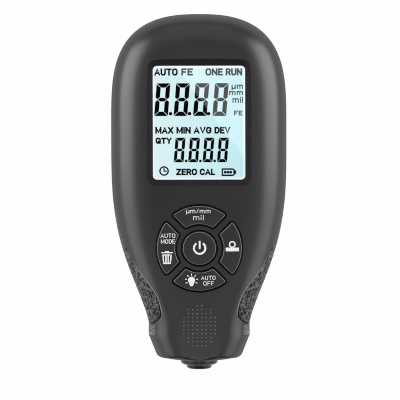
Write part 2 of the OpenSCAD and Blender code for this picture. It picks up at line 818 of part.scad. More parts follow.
module board_screws() {
    color("DarkGray")
    for (p = [board_boss_up, board_boss_low])
        difference() {
            union() {
                post(p, board_screw_r, board_z - 0.5, board_screw_top);
                post(p, 1.8, board_z - 1.3, board_z);
            }
            post(p, 0.7, board_z - 2, board_z - 0.5);
        }
}

front_shell();
rear_shell();
left_grip();
right_grip();
battery_door();
window_lens();
lens_gasket();
lcd_glass();
lcd_backlight();
lcd_holder();
zebra_strip();
main_board();
board_chips();
buzzer();
dome_mat();
power_key();
units_key();
mode_key();
zero_key();
light_key();
probe_barrel();
probe_sensor();
probe_pole();
probe_spring();
probe_cap();
probe_lead();
battery_a();
battery_b();
link_contact();
positive_contact();
negative_contact();
battery_springs();
case_screws();
board_screws();
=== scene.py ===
# %% [markdown]
# # A pocket coating thickness gauge
# The construction comes in as finished solids, in metres, lying on their back: X to the right,
# Y towards the head, Z out of the display. This lesson gives those solids their looks. Smooth
# mouldings are rebuilt here with many more faces from the same sizes, and small turned or
# stamped pieces are copied and get softened edges.

# %% Load the solids
import json
import math

import bmesh
import bpy
from mathutils import Matrix, Vector, noise

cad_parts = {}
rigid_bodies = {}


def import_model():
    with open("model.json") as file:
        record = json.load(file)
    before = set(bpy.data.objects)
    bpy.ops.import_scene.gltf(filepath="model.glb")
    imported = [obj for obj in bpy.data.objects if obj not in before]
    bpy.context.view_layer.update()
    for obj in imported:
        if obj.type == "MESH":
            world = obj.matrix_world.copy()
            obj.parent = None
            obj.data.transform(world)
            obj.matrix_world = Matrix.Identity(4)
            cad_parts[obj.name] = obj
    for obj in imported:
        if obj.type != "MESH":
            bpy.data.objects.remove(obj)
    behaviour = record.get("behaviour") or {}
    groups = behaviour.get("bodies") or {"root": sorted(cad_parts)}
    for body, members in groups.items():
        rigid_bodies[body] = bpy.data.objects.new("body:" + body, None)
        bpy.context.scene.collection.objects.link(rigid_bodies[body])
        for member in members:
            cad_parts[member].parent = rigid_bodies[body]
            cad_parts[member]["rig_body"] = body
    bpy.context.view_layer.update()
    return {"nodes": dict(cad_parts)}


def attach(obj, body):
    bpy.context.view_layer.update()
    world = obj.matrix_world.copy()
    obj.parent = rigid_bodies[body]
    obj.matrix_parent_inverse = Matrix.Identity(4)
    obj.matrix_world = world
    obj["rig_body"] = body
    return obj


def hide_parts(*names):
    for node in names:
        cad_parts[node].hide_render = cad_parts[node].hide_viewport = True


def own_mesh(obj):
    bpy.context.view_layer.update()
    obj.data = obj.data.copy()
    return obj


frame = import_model()
MM = 0.001
scene = bpy.context.scene
scene.view_settings.view_transform = "Standard"
scene.cycles.filter_width = 1.1

# %% [markdown]
# ## The camera
# The picture was taken from straight above with a long lens. The distance comes from how much
# larger the front face looks than the silhouette at the parting line, which lies 13 mm lower. The
# lens stood a few millimetres to the left of the middle, so the frame is shifted back by a little.

# %% Camera
CAMERA_AT = Vector((-4.2, -2.74, 443))
CAMERA_ROLL = -0.13
FILM_W = 36
FOCAL_LENGTH = 118.5
FRAME_SHIFT = 0.035
camera_data = bpy.data.cameras.new("camera")
camera_data.sensor_width = FILM_W
camera_data.lens = FOCAL_LENGTH
camera_data.shift_x = FRAME_SHIFT
camera_data.clip_start = 10 * MM
camera = bpy.data.objects.new("camera", camera_data)
camera.location = CAMERA_AT * MM
camera.rotation_euler = (0, 0, math.radians(CAMERA_ROLL))
scene.collection.objects.link(camera)
scene.camera = camera
print("camera height, mm:", CAMERA_AT.z)

# %% [markdown]
# ## Sizes
# All lengths are millimetres, the unit a mould maker would use. They repeat the sizes of the
# solids, so that every rebuilt piece lands exactly where its solid is.

# %% Sizes
BODY_W = 57.0
BODY_T = 26.0
Y_TOP = 57.6
Y_BASE = -54.4
Y_WIDE = 20.9
Y_WAIST = -43.2
Y_SHOULDER = -46.2
SHOULDER_UP = 8.2
WAIST_W = 32.8
FOOT_W = 32.9
BASE_W = 26.4
BASE_R = 2.0
BASE_BOW = 0.95
BASE_ROLL = 1.0
BASE_WALL = 2.4
WALL = 2.2
HEAD_ROLL = 18.0
FOOT_ROLL = 13.0
BACK_ROLL = 8.0
PART_Z = BODY_T / 2
CEIL_Z = BODY_T - WALL
TAPER_IN = 1.45
TAPER_OUT = 4.2
HEAD_POWER = (2.55, 3.46)
FRONT_POWER = 3.0
BACK_POWER = 2.2
print("housing:", BODY_W, "x", round(Y_TOP - Y_BASE, 1), "x", BODY_T, "mm")

# %% [markdown]
# ## Small helpers
# A mesh is a list of points and a list of faces. `piece` makes an object of them and turns all
# faces outwards. `loft` skins a stack of closed rings, as a moulder would stretch a skin over
# ribs. `carve` runs exact booleans and keeps only the resulting mesh, and `coat` sets the finishes.

# %% Mesh helpers
def lerp(a, b, t):
    return a + (b - a) * t


def piece(name, points, faces):
    mesh = bpy.data.meshes.new(name)
    mesh.from_pydata([Vector(p) * MM for p in points], [], faces)
    work = bmesh.new()
    work.from_mesh(mesh)
    bmesh.ops.recalc_face_normals(work, faces=work.faces)
    work.to_mesh(mesh)
    work.free()
    obj = bpy.data.objects.new(name, mesh)
    scene.collection.objects.link(obj)
    return obj


def loft(name, rings):
    count = len(rings[0])
    last = (len(rings) - 1) * count
    points = [p for ring in rings for p in ring]
    faces = []
    for j in range(0, last, count):
        for i in range(count):
            k = (i + 1) % count
            faces.append((j + i, j + k, j + count + k, j + count + i))
    faces += [tuple(range(count)), tuple(last + i for i in range(count))]
    return piece(name, points, faces)


def bake(obj):
    graph = bpy.context.evaluated_depsgraph_get()
    mesh = bpy.data.meshes.new_from_object(obj.evaluated_get(graph))
    obj.modifiers.clear()
    obj.data = mesh
    return obj


def carve(obj, cutters, join=()):
    for tool, operation in [(t, "UNION") for t in join] + [(t, "DIFFERENCE") for t in cutters]:
        step = obj.modifiers.new(tool.name, "BOOLEAN")
        step.operation = operation
        step.solver = "EXACT"
        step.object = tool
    bake(obj)
    for tool in list(join) + list(cutters):
        bpy.data.objects.remove(tool)
    return obj


def smooth(obj, angle=32):
    obj.data.shade_smooth()
    obj.data.set_sharp_from_angle(angle=math.radians(angle))
    return obj


def coat(obj, *materials):
    obj.data.materials.clear()
    for material in materials:
        obj.data.materials.append(material)


print("helpers: piece, loft, bake, carve, smooth, coat")

# %% [markdown]
# ## Materials
# One function adds a node with its settings and its links, and one recipe covers the moulded,
# sintered and rubbery finishes: a fine grain that comes from the mould, and a slow drift of
# tone. Colours are written as they look on a screen and turned to linear light.

# %% Material helpers
GRAIN_DEPTH = 0.05
ROUGH_SPREAD = 0.06
RIM_FROM, RIM_TO = 0.3, 0.8


def linear(code):
    channels = [int(code[i:i + 2], 16) / 255 for i in (1, 3, 5)]
    return [c / 12.92 if c <= 0.04045 else ((c + 0.055) / 1.055) ** 2.4 for c in channels] + [1]


def per_mm(size):
    return 1 / (size * MM)


def add(tree, kind, links=None, **settings):
    node = tree.nodes.new(kind)
    for key, value in settings.items():
        setattr(node, key, value)
    for key, value in (links or {}).items():
        if isinstance(value, bpy.types.NodeSocket):
            tree.links.new(value, node.inputs[key])
        else:
            node.inputs[key].default_value = value
    return node


def calc(tree, operation, first, second=0.0):
    return add(tree, "ShaderNodeMath", {0: first, 1: second}, operation=operation).outputs[0]


def blend(tree, share, first, second):
    return add(tree, "ShaderNodeMix", {0: share, 6: first, 7: second}, data_type="RGBA").outputs[2]


def new_material(name):
    material = bpy.data.materials.new(name)
    material.use_nodes = True
    return material, material.node_tree, material.node_tree.nodes["Principled BSDF"]


def grained(name, dark, light, grain, rough, depth=0.3, drift=9.0, metallic=0.0, specular=0.5,
            rim=None):
    material, tree, shader = new_material(name)
    place = add(tree, "ShaderNodeTexCoord").outputs["Object"]
    tone = add(tree, "ShaderNodeTexNoise", {"Vector": place, "Scale": per_mm(drift), "Detail": 3.0})
    fine = add(tree, "ShaderNodeTexNoise", {"Vector": place, "Scale": per_mm(grain), "Detail": 2.0})
    mix = blend(tree, tone.outputs["Fac"], linear(dark), linear(light))
    spread = add(tree, "ShaderNodeMapRange",
                 {0: fine.outputs["Fac"], 3: rough - ROUGH_SPREAD, 4: rough + ROUGH_SPREAD})
    bump = add(tree, "ShaderNodeBump",
               {"Height": fine.outputs["Fac"], "Strength": depth, "Distance": GRAIN_DEPTH * MM})
    tree.links.new(mix, shader.inputs["Base Color"])
    tree.links.new(spread.outputs[0], shader.inputs["Roughness"])
    tree.links.new(bump.outputs[0], shader.inputs["Normal"])
    shader.inputs["Metallic"].default_value = metallic
    shader.inputs["Specular IOR Level"].default_value = specular
    if rim is not None:
        facing = add(tree, "ShaderNodeLayerWeight", {"Blend": 0.5}).outputs["Facing"]
        fade = add(tree, "ShaderNodeMapRange", {0: facing, 1: RIM_FROM, 2: RIM_TO, 3: specular, 4: rim})
        tree.links.new(fade.outputs[0], shader.inputs["Specular IOR Level"])
    return material


# Satin black ABS out of a spark-eroded mould: a soft wide highlight, and less of a mirror at the
# edges, where the fine pits of the skin shade each other
abs_housing = grained("satin_moulded_abs", "#0a0a0b", "#0c0c0d", 0.35, 0.32, 0.1, specular=1.0,
                      rim=0.02)
# The same plastic in a pale colour, a painted highlight on the nub tips and on the ledge under each grip
pale_highlight_abs = grained("painted_highlight_abs", "#565658", "#606062", 0.35, 0.34, 0.05)
# A pale colour on the thin bead beside the rubber, a painted highlight
bead_highlight = grained("painted_highlight_bead", "#8a8a8c", "#98989a", 0.35, 0.4, 0.05)
# A copy of the housing plastic, lighter and with almost no mirror: painted shading on the bezel, the walls
# of the key openings and the key sides
painted_shading_abs = grained("painted_shading_bezel_abs", "#242427", "#2a2a2d", 0.3, 0.62, 0.2, specular=0.08)
# Soft-touch elastomer inlay: matt, its grain is real shape; further down the grain depth also sets its
# colour, painted shade in the hollows and a painted highlight on the ridges
grip_rubber = grained("pebbled_elastomer", "#2a2a2c", "#3a3a3d", 0.3, 0.5, 0.25, 1.6)
# Silicone keys with a rubbed, slightly lighter top
key_silicone = grained("black_silicone_keys", "#141416", "#19191b", 0.25, 0.4, 0.1, specular=0.7)
# A pale colour on the narrow round edge of the keys, a painted highlight
key_edge_highlight = grained("painted_highlight_key_edge", "#7a7a7c", "#848486", 0.25, 0.34, 0.05)
# White ink of the legends, pad printed and a little chalky
legend_ink = grained("white_pad_print", "#f2f2f2", "#fcfcfc", 0.2, 0.6, 0.05)
# Black liquid crystal segments behind the glass
segment_ink = grained("dark_liquid_crystal", "#010102", "#020303", 0.2, 0.6, 0.0, specular=0.0)
acetal = grained("turned_black_acetal", "#1e1e20", "#27272a", 0.15, 0.26, 0.1)
sleeve = grained("dark_sensor_sleeve", "#1a1a1c", "#242427", 0.15, 0.24, 0.1)
tape = grained("black_foam_tape", "#08080a", "#101012", 0.2, 0.8)
diffuser = grained("white_diffuser_film", "#d9dde0", "#eef1f3", 0.4, 0.5, 0.05)
silicone_grey = grained("grey_silicone_mat", "#84868a", "#92959a", 0.3, 0.6)
solder_mask = grained("green_solder_mask", "#0f5a2c", "#157038", 0.5, 0.3, 0.1, 2.0)
chip_black = grained("moulded_epoxy", "#111113", "#1b1b1e", 0.1, 0.6, 0.2)
lead_red = grained("red_pvc_lead", "#7e1512", "#8f1c17", 0.2, 0.45, 0.1)
cell_wrap = grained("blue_shrink_sleeve", "#24486f", "#2d5684", 0.6, 0.25, 0.03)
steel = grained("turned_steel", "#8e9094", "#a9abb0", 0.08, 0.3, 0.1, 1.0, 1.0)
nickel = grained("nickel_plated_strip", "#b4b2ac", "#cbc9c3", 0.1, 0.22, 0.05, 1.5, 1.0)
print("finishes:", len(bpy.data.materials))

# %% [markdown]
# ## The lit display
# The glass glows: pale cyan in the middle, nearly white along the rim where the side light
# enters. The glow is worked out from the distance to the middle of the window.

# %% Display and lens materials
WINDOW_W = 29.4
WINDOW_H = 36.22
BEZEL_W = 1.9
Y_WINDOW = 21.87
RIM_GLOW = 0.93
lit_glass, tree, shader = new_material("lit_liquid_crystal")
place = add(tree, "ShaderNodeTexCoord").outputs["Object"]
spot = add(tree, "ShaderNodeMapping", {"Vector": place, "Location": (0, -Y_WINDOW / WINDOW_H * 2, 0),
                                       "Scale": (2 / WINDOW_W / MM, 2 / WINDOW_H / MM, 0)})
from_middle = add(tree, "ShaderNodeSeparateXYZ", {0: spot.outputs[0]}).outputs
rim = calc(tree, "MAXIMUM", calc(tree, "ABSOLUTE", from_middle[0]), calc(tree, "ABSOLUTE", from_middle[1]))
glow = add(tree, "ShaderNodeMapRange", {0: rim, 1: RIM_GLOW, 2: 1.0}, interpolation_type="SMOOTHSTEP")
lean = add(tree, "ShaderNodeMapRange", {0: from_middle[0], 1: -1.0, 2: 1.0})
middle = blend(tree, lean.outputs[0], linear("#e2f9fc"), linear("#c8f1f8"))
light = blend(tree, glow.outputs[0], middle, linear("#f8feff"))
tree.links.new(light, shader.inputs["Emission Color"])
shader.inputs["Emission Strength"].default_value = 1.0
shader.inputs["Base Color"].default_value = linear("#101416")
shader.inputs["Roughness"].default_value = 0.3
shader.inputs["Specular IOR Level"].default_value = 0.0

clear_acrylic, tree, shader = new_material("clear_cast_acrylic")
place = add(tree, "ShaderNodeTexCoord").outputs["Object"]
waves = add(tree, "ShaderNodeTexNoise", {"Vector": place, "Scale": per_mm(12), "Detail": 0.0})
ripple = add(tree, "ShaderNodeBump",
             {"Height": waves.outputs["Fac"], "Strength": 0.02, "Distance": GRAIN_DEPTH * MM})
tree.links.new(ripple.outputs[0], shader.inputs["Normal"])
shader.inputs["Base Color"].default_value = (1, 1, 1, 1)
shader.inputs["Transmission Weight"].default_value = 1.0
shader.inputs["Roughness"].default_value = 0.02
shader.inputs["IOR"].default_value = 1.49
print("display glows, lens is clear")

# %% [markdown]
# ## The housing's curves
# A rail is a closed line round the housing: a squarish arch for the head, sides that taper to a
# waist, a short scoop under the grips and a foot with rounded corners. The edge rail is the
# silhouette, the face rail is set in by the width of the rolled edge, and a superellipse climbs
# from one to the other. Points are spaced evenly so that the highlights run without waves.

# %% Rails
def evenly(count, power):
    shares = []
    for i in range(count + 1):
        t = i / count
        shares.append(t ** power / (t ** power + (1 - t) ** power))
    return shares


def side_x(y, h, f):
    t = min(1, max(0, (y - Y_WAIST) / (Y_WIDE - Y_WAIST)))
    return lerp(WAIST_W / 2 - f, BODY_W / 2 - h, 1 - (1 - t ** TAPER_IN) ** TAPER_OUT)


def half_rail(h, f, b):
    slope = (FOOT_W - BASE_W) / 2 / SHOULDER_UP
    turn = math.atan(slope)
    r = max(0.6, BASE_R - f / 4)
    y1 = Y_BASE + b + BASE_BOW
    cx = BASE_W / 2 - f + slope * (b + BASE_BOW + r * (1 - math.sin(turn))) - r * math.cos(turn)
    points = []
    for t in evenly(40, 1.5)[:-1]:
        a = t * math.pi / 2
        points.append(((BODY_W / 2 - h) * math.sin(a) ** (2 / HEAD_POWER[0]),
                       Y_WIDE + (Y_TOP - h - Y_WIDE) * math.cos(a) ** (2 / HEAD_POWER[1])))
    for i in range(52):
        y = lerp(Y_WIDE, Y_WAIST, i / 52)
        points.append((side_x(y, h, f), y))
    for i in range(11):
        t = i / 10
        width = lerp(WAIST_W, FOOT_W, (1 - math.cos(math.pi * t)) / 2)
        points.append((width / 2 - f, lerp(Y_WAIST, Y_SHOULDER, t)))
    shoulder = points[-1]
    corner = [(cx + r * math.cos(a), y1 + r - r * math.sin(a))
              for a in [lerp(turn, math.pi / 2, i / 8) for i in range(9)]]
    for i in (1, 2, 3):
        points.append((lerp(shoulder[0], corner[0][0], i / 4), lerp(shoulder[1], corner[0][1], i / 4)))
    points += corner
    for i in range(1, 13):
        x = cx * (1 - i / 12)
        points.append((x, y1 - BASE_BOW * (1 - (x / cx) ** 2)))
    return points


def rail(h, f, b):
    right = half_rail(h, f, b)
    return right + [(-x, y) for x, y in reversed(right[1:-1])]


def rolled(edge, face, height, count, power):
    rings = []
    for j in range(count + 1):
        a = math.pi / 2 * j / count
        c = max(0, math.cos(a)) ** (2 / power)
        s = math.sin(a) ** (2 / power)
        rings.append([(lerp(fx, ex, c), lerp(fy, ey, c), height * s)
                      for (ex, ey), (fx, fy) in zip(edge, face)])
    return rings


def shell(name, h, f, up, power):
    seam = 0.2
    outer = rolled(rail(0, 0, 0), rail(h, f, BASE_ROLL), PART_Z, 28, power)
    outer[0] = [(x, y, seam) for x, y, z in outer[0]]
    lip = [(x, y, 0) for x, y in rail(seam, seam, seam)]
    inner = rolled(rail(WALL, WALL, BASE_WALL), rail(h, f, BASE_WALL + BASE_ROLL), PART_Z - WALL, 8,
                   power)
    rings = list(reversed(inner)) + [lip] + outer
    return loft(name, [[(x, y, PART_Z + up * z) for x, y, z in ring] for ring in rings])


print("rail points:", len(rail(0, 0, 0)))

# %% [markdown]
# ## Cutters for the front
# The window is a shallow funnel: a sloped bezel with a broken edge. Each key has its own
# opening, and the ring keys share one fan outline that is turned by quarters. The corners of the
# fan are arcs whose centres are found from the bars between the keys and the two circles.

# %% Outlines
Y_KEYS = -18.04
POWER_R = 5.75
RING_IN = 7.2
RING_OUT = 13.9
BAR_W = 2.0
RING_CORNER = 0.95
RING_TURNS = {"units": 0, "mode": 90, "light": 180, "zero": 270}


def round_box(w, h, r, count=8):
    points = []
    for cx, cy, start in ((1, 1, 0), (-1, 1, 90), (-1, -1, 180), (1, -1, 270)):
        for i in range(count + 1):
            a = math.radians(start + 90 * i / count)
            points.append((cx * (w / 2 - r) + r * math.cos(a), cy * (h / 2 - r) + r * math.sin(a)))
    return points


def circle(r, count=72):
    angles = [2 * math.pi * i / count for i in range(count)]
    return [(r * math.cos(a), r * math.sin(a)) for a in angles]


def fan(inset):
    low, high = RING_IN + inset, RING_OUT - inset
    r = max(0.25, RING_CORNER - inset)
    k = (BAR_W / 2 + inset) * math.sqrt(2) + r * math.sqrt(2)
    top_x = (-k + math.sqrt(2 * (high - r) ** 2 - k * k)) / 2
    low_x = (-k + math.sqrt(2 * (low + r) ** 2 - k * k)) / 2
    top = Vector((top_x, top_x + k))
    bottom = Vector((low_x, low_x + k))
    points = []
    top_turn = math.atan2(top.y, top.x)
    for i in range(25):
        a = lerp(math.pi - top_turn, top_turn, i / 24)
        points.append((high * math.cos(a), high * math.sin(a)))
    for i in range(1, 9):
        a = lerp(top_turn, -math.pi / 4, i / 8)
        points.append((top.x + r * math.cos(a), top.y + r * math.sin(a)))
    low_turn = math.atan2(bottom.y, bottom.x)
    for i in range(9):
        a = lerp(-math.pi / 4, low_turn - math.pi, i / 8)
        points.append((bottom.x + r * math.cos(a), bottom.y + r * math.sin(a)))
    for i in range(1, 24):
        a = lerp(low_turn, math.pi - low_turn, i / 24)
        points.append((low * math.cos(a), low * math.sin(a)))
    half = [(-x, y) for x, y in reversed(points[25:42])]
    return points + half


def turned_outline(points, turn):
    c, s = math.cos(math.radians(turn)), math.sin(math.radians(turn))
    return [(c * x - s * y, s * x + c * y) for x, y in points]


def ring_middle(turn):
    return turned_outline([(0, (RING_IN + RING_OUT) / 2)], turn)[0]


def stack(name, layers, at):
    return loft(name, [[(x + at[0], y + at[1], z) for x, y in outline] for outline, z in layers])


print("fan outline points:", len(fan(0)))

# %% [markdown]
# ## The grip's leaf
# On each side a leaf of soft rubber lies flush in a pocket and wraps round the rolled edge. A
# point on the leaf is given by its place along the side and by its angle round the edge. The angle
# sets how far the point lies in from the silhouette, and its height follows the rolled edge there.

# %% Leaf surface
GRIP_UP = 11.7
GRIP_L = 39.7
GRIP_T = 1.2
GRIP_TAIL = 60.0
GRIP_BULB = 18.0
BULB_AT, BULB_SPREAD = 0.25, 0.19
TIP_SHARE = 0.1
LEAST_ANGLE = 6
FRONT_REACH = 1.12


def leaf(w, grow):
    tail = GRIP_TAIL * math.sqrt(max(0, 1 - w))
    bulb = GRIP_BULB * math.exp(-((w - BULB_AT) / BULB_SPREAD) ** 2)
    tip = math.sqrt(max(0, 1 - (1 - min(w, TIP_SHARE) / TIP_SHARE) ** 2))
    return max(LEAST_ANGLE, (tail + bulb) * tip) + grow


def side_point(y, angle, d, side):
    edge = side_x(y, 0, 0)
    width = edge - side_x(y, BACK_ROLL, BACK_ROLL)
    roll = width if angle < 0 else edge - side_x(y, HEAD_ROLL, FOOT_ROLL)
    power = BACK_POWER if angle < 0 else FRONT_POWER
    share = 1 - max(0, math.cos(math.radians(angle))) ** (2 / BACK_POWER)
    inset = width * share * (1 if angle < 0 else FRONT_REACH)
    c = 1 - inset / roll
    s = (1 - c ** power) ** (1 / power)
    x = edge - roll + (roll - d) * c
    return (side * x, y, PART_Z + math.copysign((PART_Z - d) * s, angle))


def leaf_patch(name, top, bottom, grow, stretch, side, along, across):
    y0 = Y_BASE + GRIP_UP - stretch
    length = GRIP_L + 2 * stretch
    row = across + 1
    size = (along + 1) * row
    points, depths = [], []
    for layer in (top, bottom):
        for i in range(along + 1):
            w = (1 - math.cos(math.pi * i / along)) / 2
            half = leaf(w, grow)
            for j in range(row):
                angle = lerp(-half, half, j / across)
                depth = layer(w, j / across, y0 + length * w, angle) if callable(layer) else layer
                depths.append(depth)
                points.append(side_point(y0 + length * w, angle, depth, side))
    faces = []
    for i in range(along):
        for j in range(across):
            a = i * row + j
            faces.append((a, a + 1, a + row + 1, a + row))
            faces.append((size + a, size + a + row, size + a + row + 1, size + a + 1))
    edge = list(range(row))
    edge += [i * row + across for i in range(1, along + 1)]
    edge += [along * row + j for j in range(across - 1, -1, -1)]
    edge += [i * row for i in range(along - 1, 0, -1)]
    for a, b in zip(edge, edge[1:] + edge[:1]):
        faces.append((a, a + size, b + size, b))
    patch = piece(name, points, faces)
    patch.data.attributes.new("sunk", "FLOAT", "POINT").data.foreach_set("value", depths)
    return patch


print("leaf at its widest, degrees:", round(max(leaf(i / 40, 0) for i in range(41)), 1))

# %% [markdown]
# ## The front shell
# The lofted skin is cut by the window funnel, the five key openings, the two grip pockets, a small slanted
# ledge under each grip and the hole for the probe. The result is one closed moulding with a real wall. The
# ledge is coloured pale, a painted highlight, and the bezel and the walls of the key openings get a lighter
# copy of the plastic with almost no mirror, painted shading.

# %% Front shell
PROBE_HOLE_R = 5.1
SEAT_R = 6.15
SEAT_DEPTH = 0.4
WINDOW_R, BEZEL_R = 1.3, 2.6
EDGE_BREAK = 0.3
LEDGE_STEPS = [(17.0, 14.7), (14.6, 16.05), (14.1, 24.0)]
LEDGE_OUT = 20.0
LEDGE_CHAMFER = 1.6
LEDGE_Y = (-42.4, -42.7, -44.0, -45.4, -45.8)
LEDGE_HIGHLIGHT_X, LEDGE_HIGHLIGHT_Y, LEDGE_HIGHLIGHT_Z = 14.2, (-46.0, -42.6), 14.75
POCKET_TURN = 1.3
POCKET_GAP, POCKET_END = 0.1, 0.2


def probe_drill(name, r, depth):
    rings = [[(x, y, z + PART_Z) for x, z in circle(r, 48)] for y in (Y_BASE - 1, Y_BASE + depth)]
    return loft(name, rings)


def probe_cuts():
    return [probe_drill("probe_cut", PROBE_HOLE_R, 4), probe_drill("seat_cut", SEAT_R, SEAT_DEPTH)]


def scoop(name, side):
    layers = []
    for x, z in LEDGE_STEPS:
        xs = (LEDGE_OUT, x, x, x + LEDGE_CHAMFER, LEDGE_OUT)
        layers.append(([(side * a, b) for a, b in zip(xs, LEDGE_Y)], z))
    return stack(name, layers, (0, 0))


def pocket(name, side):
    return leaf_patch(name, -1, GRIP_T + POCKET_GAP, POCKET_TURN, POCKET_END, side, 48, 24)


def window_ring(grow, r):
    return round_box(WINDOW_W + 2 * grow, WINDOW_H + 2 * grow, r)


def key_cut(name, outline):
    levels = ((0, CEIL_Z - 1), (0, BODY_T - EDGE_BREAK / 2), (-EDGE_BREAK, BODY_T + EDGE_BREAK / 2))
    return stack(name, [(outline(inset), z) for inset, z in levels], (0, Y_KEYS))


front = shell("front_moulding", HEAD_ROLL, FOOT_ROLL, 1, FRONT_POWER)
window = [(window_ring(0, WINDOW_R), CEIL_Z - 1),
          (window_ring(0, WINDOW_R), CEIL_Z + 0.1),
          (window_ring(BEZEL_W, BEZEL_R), BODY_T - 0.12),
          (window_ring(BEZEL_W + EDGE_BREAK, BEZEL_R + EDGE_BREAK), BODY_T + 0.08)]
cutters = [stack("window_cut", window, (0, Y_WINDOW))]
cutters.append(key_cut("power_cut", lambda inset: circle(POWER_R - inset)))
for name, turn in RING_TURNS.items():
    cutters.append(key_cut(name + "_cut", lambda inset: turned_outline(fan(inset), turn)))
cutters += [pocket("left_pocket", -1), pocket("right_pocket", 1)]
cutters += [scoop("left_scoop", -1), scoop("right_scoop", 1)] + probe_cuts()
smooth(carve(front, cutters))
coat(front, abs_housing, painted_shading_abs, pale_highlight_abs)
# Painted shading: the bezel and the walls of the key openings get the lighter, mirrorless copy of the
# plastic
reach = [size / 2 + BEZEL_W + EDGE_BREAK + 0.05 for size in (WINDOW_W, WINDOW_H)]
for face in front.data.polygons:
    x, y, z = face.center / MM
    bezel = abs(x) < reach[0] and abs(y - Y_WINDOW) < reach[1] and face.normal.z < 0.98
    opening = math.hypot(x, y - Y_KEYS) < RING_OUT + 1 and face.normal.z < 0.5
    face.material_index = int(z > CEIL_Z - 1.1 and (bezel or opening))
    # Painted highlight: the ledge faces under each grip get the pale highlight colour
    if abs(x) > LEDGE_HIGHLIGHT_X and LEDGE_HIGHLIGHT_Y[0] < y < LEDGE_HIGHLIGHT_Y[1] and z > LEDGE_HIGHLIGHT_Z:
        face.material_index = 2
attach(front, "housing")
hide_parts("front_shell")
print("front moulding faces:", len(front.data.polygons))

# %% [markdown]
# ## The rear shell
# The back is the same loft with a narrower roll. A box for the two cells is joined to
# it, then the bay, the seat of the door, the hinge sockets and the screw recesses are cut.

# %% Rear shell
BAY_W, BAY_Y, BAY_END, BAY_ROOF, BAY_WALL = 22.0, -9.6, 39.9, 13.0, 2.3
ROOF_T = 1.2
DOOR_W, DOOR_Y, DOOR_END, DOOR_T = 24.2, -10.7, 41.0, 2.0
DOOR_GAP = 0.2
SCREW_AT = [(14, 48.3), (10, -47.9)]
COLUMN_R = 3.4
RECESS_R, RECESS_DEPTH, RECESS_LIP = 2.5, 6.5, 0.5
SOCKET_R, SOCKET_END, HINGE_IN = 0.55, 14, 1


def block(name, half, y0, y1, z0, z1, r=0.4):
    outline = round_box(2 * half, y1 - y0, r, 4)
    return stack(name, [(outline, z0), (outline, z1)], (0, (y0 + y1) / 2))


rear = shell("rear_moulding", BACK_ROLL, BACK_ROLL, -1, BACK_POWER)
joined = [block("bay_box", BAY_W / 2 + BAY_WALL, BAY_Y - BAY_WALL, BAY_END + BAY_WALL,
                WALL / 2, BAY_ROOF + ROOF_T)]
cutters = [block("bay_cut", BAY_W / 2, BAY_Y, BAY_END, -1, BAY_ROOF),
           block("seat_cut", DOOR_W / 2 + DOOR_GAP, DOOR_Y - DOOR_GAP, DOOR_END + DOOR_GAP,
                 -1, DOOR_T + 0.1)]
column = [(circle(COLUMN_R, 32), z) for z in (WALL + 1, PART_Z - 0.1)]
recess = [(circle(RECESS_R, 32), RECESS_DEPTH), (circle(RECESS_R, 32), RECESS_LIP),
          (circle(RECESS_R + RECESS_LIP, 32), -0.05), (circle(RECESS_R + RECESS_LIP, 32), -1)]
for x, y in SCREW_AT:
    for s in (-1, 1):
        joined.append(stack("column", column, (s * x, y)))
        cutters.append(stack("recess", recess, (s * x, y)))
sockets = [[(x, DOOR_END - HINGE_IN + y, HINGE_IN + z) for y, z in circle(SOCKET_R, 24)]
           for x in (-SOCKET_END, SOCKET_END)]
cutters += [loft("socket_cut", sockets), pocket("left_pocket", -1), pocket("right_pocket", 1)]
cutters += probe_cuts()
smooth(carve(rear, cutters, joined))
coat(rear, abs_housing)
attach(rear, "housing")
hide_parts("rear_shell")
print("rear moulding faces:", len(rear.data.polygons))

# %% [markdown]
# ## The grips
# The rubber has a leather-like grain: fine ridges with hollows between them. Each point of a dense leaf
# sinks by how far it lies from the border between two random cells in space. The cells are drawn out along
# the side, and a fixed seed gives the same grain each time. The depth also sets the colour: painted shade,
# darker in the hollows, and a painted highlight, paler on the ridges.

# %% Grips
PEBBLE = 0.72
STRETCH = 2.5
VALLEY = 0.34
LIFT = 0.02
WOBBLE, WOBBLE_PITCH = 0.25, 0.8
RIDGE = 0.32
END_RIM, SIDE_RIM = 0.012, 0.03
FOOT_END, FOOT_SINK = 0.15, 2.2
GRAIN_SEED = 7


def grain_depth(w, across, y, angle):
    spot = Vector(side_point(y, angle, 0, 1)) / PEBBLE
    spot.y /= STRETCH
    wobble = noise.noise_vector(spot * WOBBLE_PITCH) * WOBBLE
    near = noise.voronoi(spot + wobble, distance_metric="DISTANCE")[0]
    hollow = min(1, (near[1] - near[0]) / RIDGE)
    inside = min(1, min(w, 1 - w) / END_RIM, min(across, 1 - across) / SIDE_RIM)
    edge = (1 - inside) ** 2
    return LIFT + VALLEY * max(hollow, edge * (FOOT_SINK if w < FOOT_END else 1))


tree = grip_rubber.node_tree
sunk = add(tree, "ShaderNodeAttribute", attribute_name="sunk").outputs["Fac"]
# Painted shade and highlight: near black in the hollows, pale grey on the ridges
ridge_highlight_share = add(tree, "ShaderNodeMapRange", {0: sunk, 1: LIFT + VALLEY * 0.8, 2: LIFT})
tone = blend(tree, ridge_highlight_share.outputs[0], linear("#0a0a0c"), linear("#77777a"))
tree.links.new(tone, tree.nodes["Principled BSDF"].inputs["Base Color"])
noise.seed_set(GRAIN_SEED)
for name, side in (("left_grip", -1), ("right_grip", 1)):
    grip = leaf_patch(name + "_pebbled", grain_depth, GRIP_T, 0, 0, side, 210, 190)
    smooth(grip, 60)
    coat(grip, grip_rubber)
    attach(grip, "housing")
    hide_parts(name)
    print(grip.name, "faces:", len(grip.data.polygons))

# %% [markdown]
# ## A bead round each pocket
# The moulder's edge beside the pocket is a thin raised bead. It is a fine tube along the outline of the
# leaf, half sunk in the shell. It is coloured pale, a painted highlight that draws a pale line beside the
# wide part of the rubber, and it runs out towards both ends.

